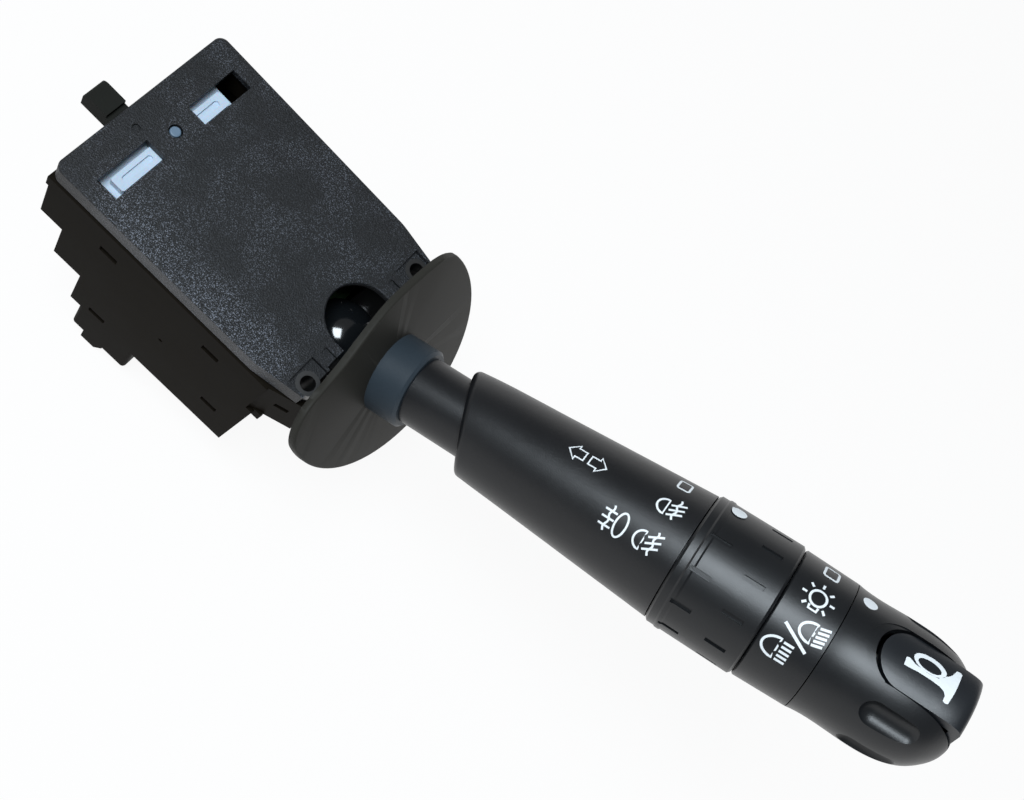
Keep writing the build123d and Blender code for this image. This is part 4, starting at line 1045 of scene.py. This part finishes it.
@dataclass
class ShieldPlate:
    """Shield whose far corner is rounded off in a wide arc."""

    finish: Finish = MouldedPlastic("shield_satin", (0.0275, 0.0262, 0.0225), roughness=0.48,
                                    grain_mm=0.35, depth_mm=0.015, specular=0.07)
    arc_across: float = 11.38
    arc_up: float = 5.24
    arc_radius: float = 16.0
    first_angle: float = 38.0
    last_angle: float = 72.0
    cuts: int = 7
    weld: float = 1e-6
    sharp_angle: float = 25.0

    def build(self) -> bpy.types.Object:
        """Copy the shield and trim its corner to the arc.

        Returns:
            The finished piece.
        """
        obj = bpy.data.objects.new("shield_plate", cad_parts["shield"].data.copy())
        bpy.context.scene.collection.objects.link(obj)
        only(obj)
        bpy.ops.object.mode_set(mode="EDIT")
        bpy.ops.mesh.select_all(action="SELECT")
        bpy.ops.mesh.remove_doubles(threshold=self.weld)
        self.trim()
        bpy.ops.object.mode_set(mode="OBJECT")
        bpy.ops.object.shade_smooth_by_angle(angle=math.radians(self.sharp_angle))
        obj.data.materials.clear()
        obj.data.materials.append(self.finish.build())
        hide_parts("shield")
        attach(obj, Body.LEVER.value)
        LOG.info("shield trimmed")
        return obj

    def trim(self) -> None:
        """Cut the mesh that is being edited along tangents of the arc."""
        across, up = STALK.across, STALK.along.cross(STALK.across)
        middle = STALK.pivot + across * self.arc_across + up * self.arc_up
        between = (self.last_angle - self.first_angle) / (self.cuts - 1)
        for i in range(self.cuts):
            turn = math.radians(self.first_angle + between * i)
            out = across * math.cos(turn) + up * math.sin(turn)
            bpy.ops.mesh.select_all(action="SELECT")
            bpy.ops.mesh.bisect(plane_co=(middle + out * self.arc_radius) * MM, plane_no=out,
                                use_fill=True, clear_outer=True)


@dataclass
class Lever:
    """Ball, yoke, shield and stalk."""

    ball: Finish = GlossPlastic("ball_gloss", (0.005, 0.006, 0.007), roughness=0.10, specular=0.9)
    yoke: Finish = MouldedPlastic("yoke_black", (0.008, 0.008, 0.008), roughness=0.55, grain_mm=0.5,
                                  depth_mm=0.01, specular=0.05)
    collar: Finish = MouldedPlastic("collar_satin", (0.026, 0.036, 0.046), roughness=0.44, grain_mm=0.4,
                                    depth_mm=0.012, specular=0.25)
    sleeve: Finish = MouldedPlastic("sleeve_grain", (0.0060, 0.0064, 0.0075), roughness=0.345,
                                    grain_mm=0.22, depth_mm=0.030, glint_share=0.04, specular=0.42)
    ring: Finish = MouldedPlastic("ring_satin", (0.0060, 0.0068, 0.0080), roughness=0.345,
                                  grain_mm=0.2, depth_mm=0.018, specular=0.42)
    cap: Finish = MouldedPlastic("cap_grain", (0.0060, 0.0068, 0.0080), roughness=0.335,
                                 grain_mm=0.22, depth_mm=0.024, glint_share=0.04, specular=0.42)
    button: Finish = MouldedPlastic("button_satin", (0.010, 0.012, 0.015), roughness=0.34,
                                    grain_mm=0.3, depth_mm=0.010, specular=0.5)
    steel: Finish = Metal("steel_drawn", (0.55, 0.55, 0.56), roughness=0.3)
    film: Finish = GlossPlastic("film_amber", (0.55, 0.28, 0.06), roughness=0.25)

    def build(self) -> None:
        """Dress the lever."""
        dress(self.ball, "lever_core")
        dress(self.yoke, "turn_yoke")
        dress(self.collar, "hub_collar")
        dress(self.sleeve, "stalk_sleeve")
        dress(self.cap, "symbol_band", "end_cap")
        dress(self.ring, "fog_ring", "ring_drum")
        dress(self.button, "horn_button")
        dress(self.steel, "inner_tube", "lever_pin", "detent_spring", "horn_spring")
        dress(self.film, "flex_lead")
        LOG.info("lever dressed")


# ---- studio -----------------------------------------------------------------------------
@dataclass(frozen=True)
class Softbox:
    """One soft light."""

    name: str
    place: Vector
    aim: Vector
    size: float
    power: float
    tint: Colour = (0.84, 0.93, 1.0)

    def build(self) -> None:
        """Hang the light."""
        data = bpy.data.lights.new(self.name, "AREA")
        data.shape = "SQUARE"
        data.size = self.size
        data.energy = self.power
        data.color = self.tint
        obj = bpy.data.objects.new(self.name, data)
        bpy.context.scene.collection.objects.link(obj)
        obj.location = self.place
        obj.rotation_euler = (self.aim - self.place).to_track_quat("-Z", "Y").to_euler()


@dataclass
class Studio:
    """Camera, lights, floor and surroundings."""

    place_mm: Vector = field(default_factory=lambda: Vector((-14.531, -106.420, 217.466)))
    right: Vector = field(default_factory=lambda: Vector((0.685187, 0.5689853, 0.4547247)))
    down: Vector = field(default_factory=lambda: Vector((0.7037852, -0.6780132, -0.2120953)))
    focal_px: float = 1173.04
    centre_px: Point = (502.754, 402.235)
    near: float = 0.01
    far: float = 10.0
    floor_z: float = -0.0675
    floor_size: float = 6.0
    floor_grey: float = 0.85
    floor_white: float = 0.93
    fill: float = 0.18
    rim_full: float = 0.10
    rim_top: float = 0.35
    grips: Vector = field(default_factory=lambda: Vector((0.09, 0.0, 0.05)))
    window_way: Vector = field(default_factory=lambda: Vector((-0.40, -0.27, 0.875)))
    window_away: float = 0.60
    window_size: float = 0.30
    window_power: float = 4.6

    def camera(self) -> None:
        """Set the camera up at its calibrated place."""
        data = bpy.data.cameras.new("camera")
        data.sensor_width = SENSOR_MM
        data.lens = self.focal_px * SENSOR_MM / FRAME_WIDE
        data.shift_x = (FRAME_WIDE / 2 - self.centre_px[0]) / FRAME_WIDE
        data.shift_y = (self.centre_px[1] - FRAME_HIGH / 2) / FRAME_WIDE
        data.clip_start, data.clip_end = self.near, self.far
        obj = bpy.data.objects.new("camera", data)
        bpy.context.scene.collection.objects.link(obj)
        up = -self.down
        obj.matrix_world = framed(self.right, up, self.right.cross(up), self.place_mm * MM)
        bpy.context.scene.camera = obj

    def floor(self) -> None:
        """Lay a plain pale floor that keeps a faint shadow."""
        only()
        bpy.ops.mesh.primitive_plane_add(size=self.floor_size, location=(0, 0, self.floor_z))
        obj = bpy.context.view_layer.objects.active
        obj.name = "floor"
        g = Graph.of_material("floor_pale")
        grey = (self.floor_grey, self.floor_grey, self.floor_grey, 1.0)
        plain = g.node("ShaderNodeBsdfDiffuse", sockets={"Color": grey})
        white = g.node("ShaderNodeEmission", sockets={"Color": WHITE, "Strength": 1.0})
        seen = (g.ray("Camera") + g.ray("Glossy") + g.ray("Transmission")) * self.floor_white
        g.show(g.blend(seen, plain, white))
        obj.data.materials.append(g.owner)

    def world(self) -> None:
        """Surround the object with soft grey light.

        The camera and glass see it as white all round, and metal sees the white up to a low horizon.
        """
        g = Graph.of_world("world")
        bpy.context.scene.world = g.owner
        glow = g.node("ShaderNodeBackground", sockets={"Color": WHITE, "Strength": self.fill})
        white = g.node("ShaderNodeBackground", sockets={"Color": WHITE, "Strength": 1.0})
        height = g.axis("Z", g.node("ShaderNodeTexCoord", output="Generated"))
        mirrored = g.ray("Glossy") * height.ramp(self.rim_top, self.rim_full)
        seen = g.ray("Camera") + g.ray("Transmission") + mirrored
        g.show(g.blend(seen, glow, white))

    def build(self) -> None:
        """Set the whole studio up."""
        self.camera()
        self.floor()
        self.world()
        place = self.grips + self.window_way * self.window_away
        Softbox("window", place, self.grips, self.window_size, self.window_power).build()
        bpy.context.scene.view_settings.view_transform = "Standard"
        LOG.info("studio ready")


def main() -> None:
    """Build every assembly, then the studio."""
    logging.basicConfig(level=logging.INFO)
    Housing().build()
    CancelGear().build()
    Lever().build()
    ShieldPlate().build()
    Prints().build()
    Studio().build()


if __name__ == "__main__":
    main()
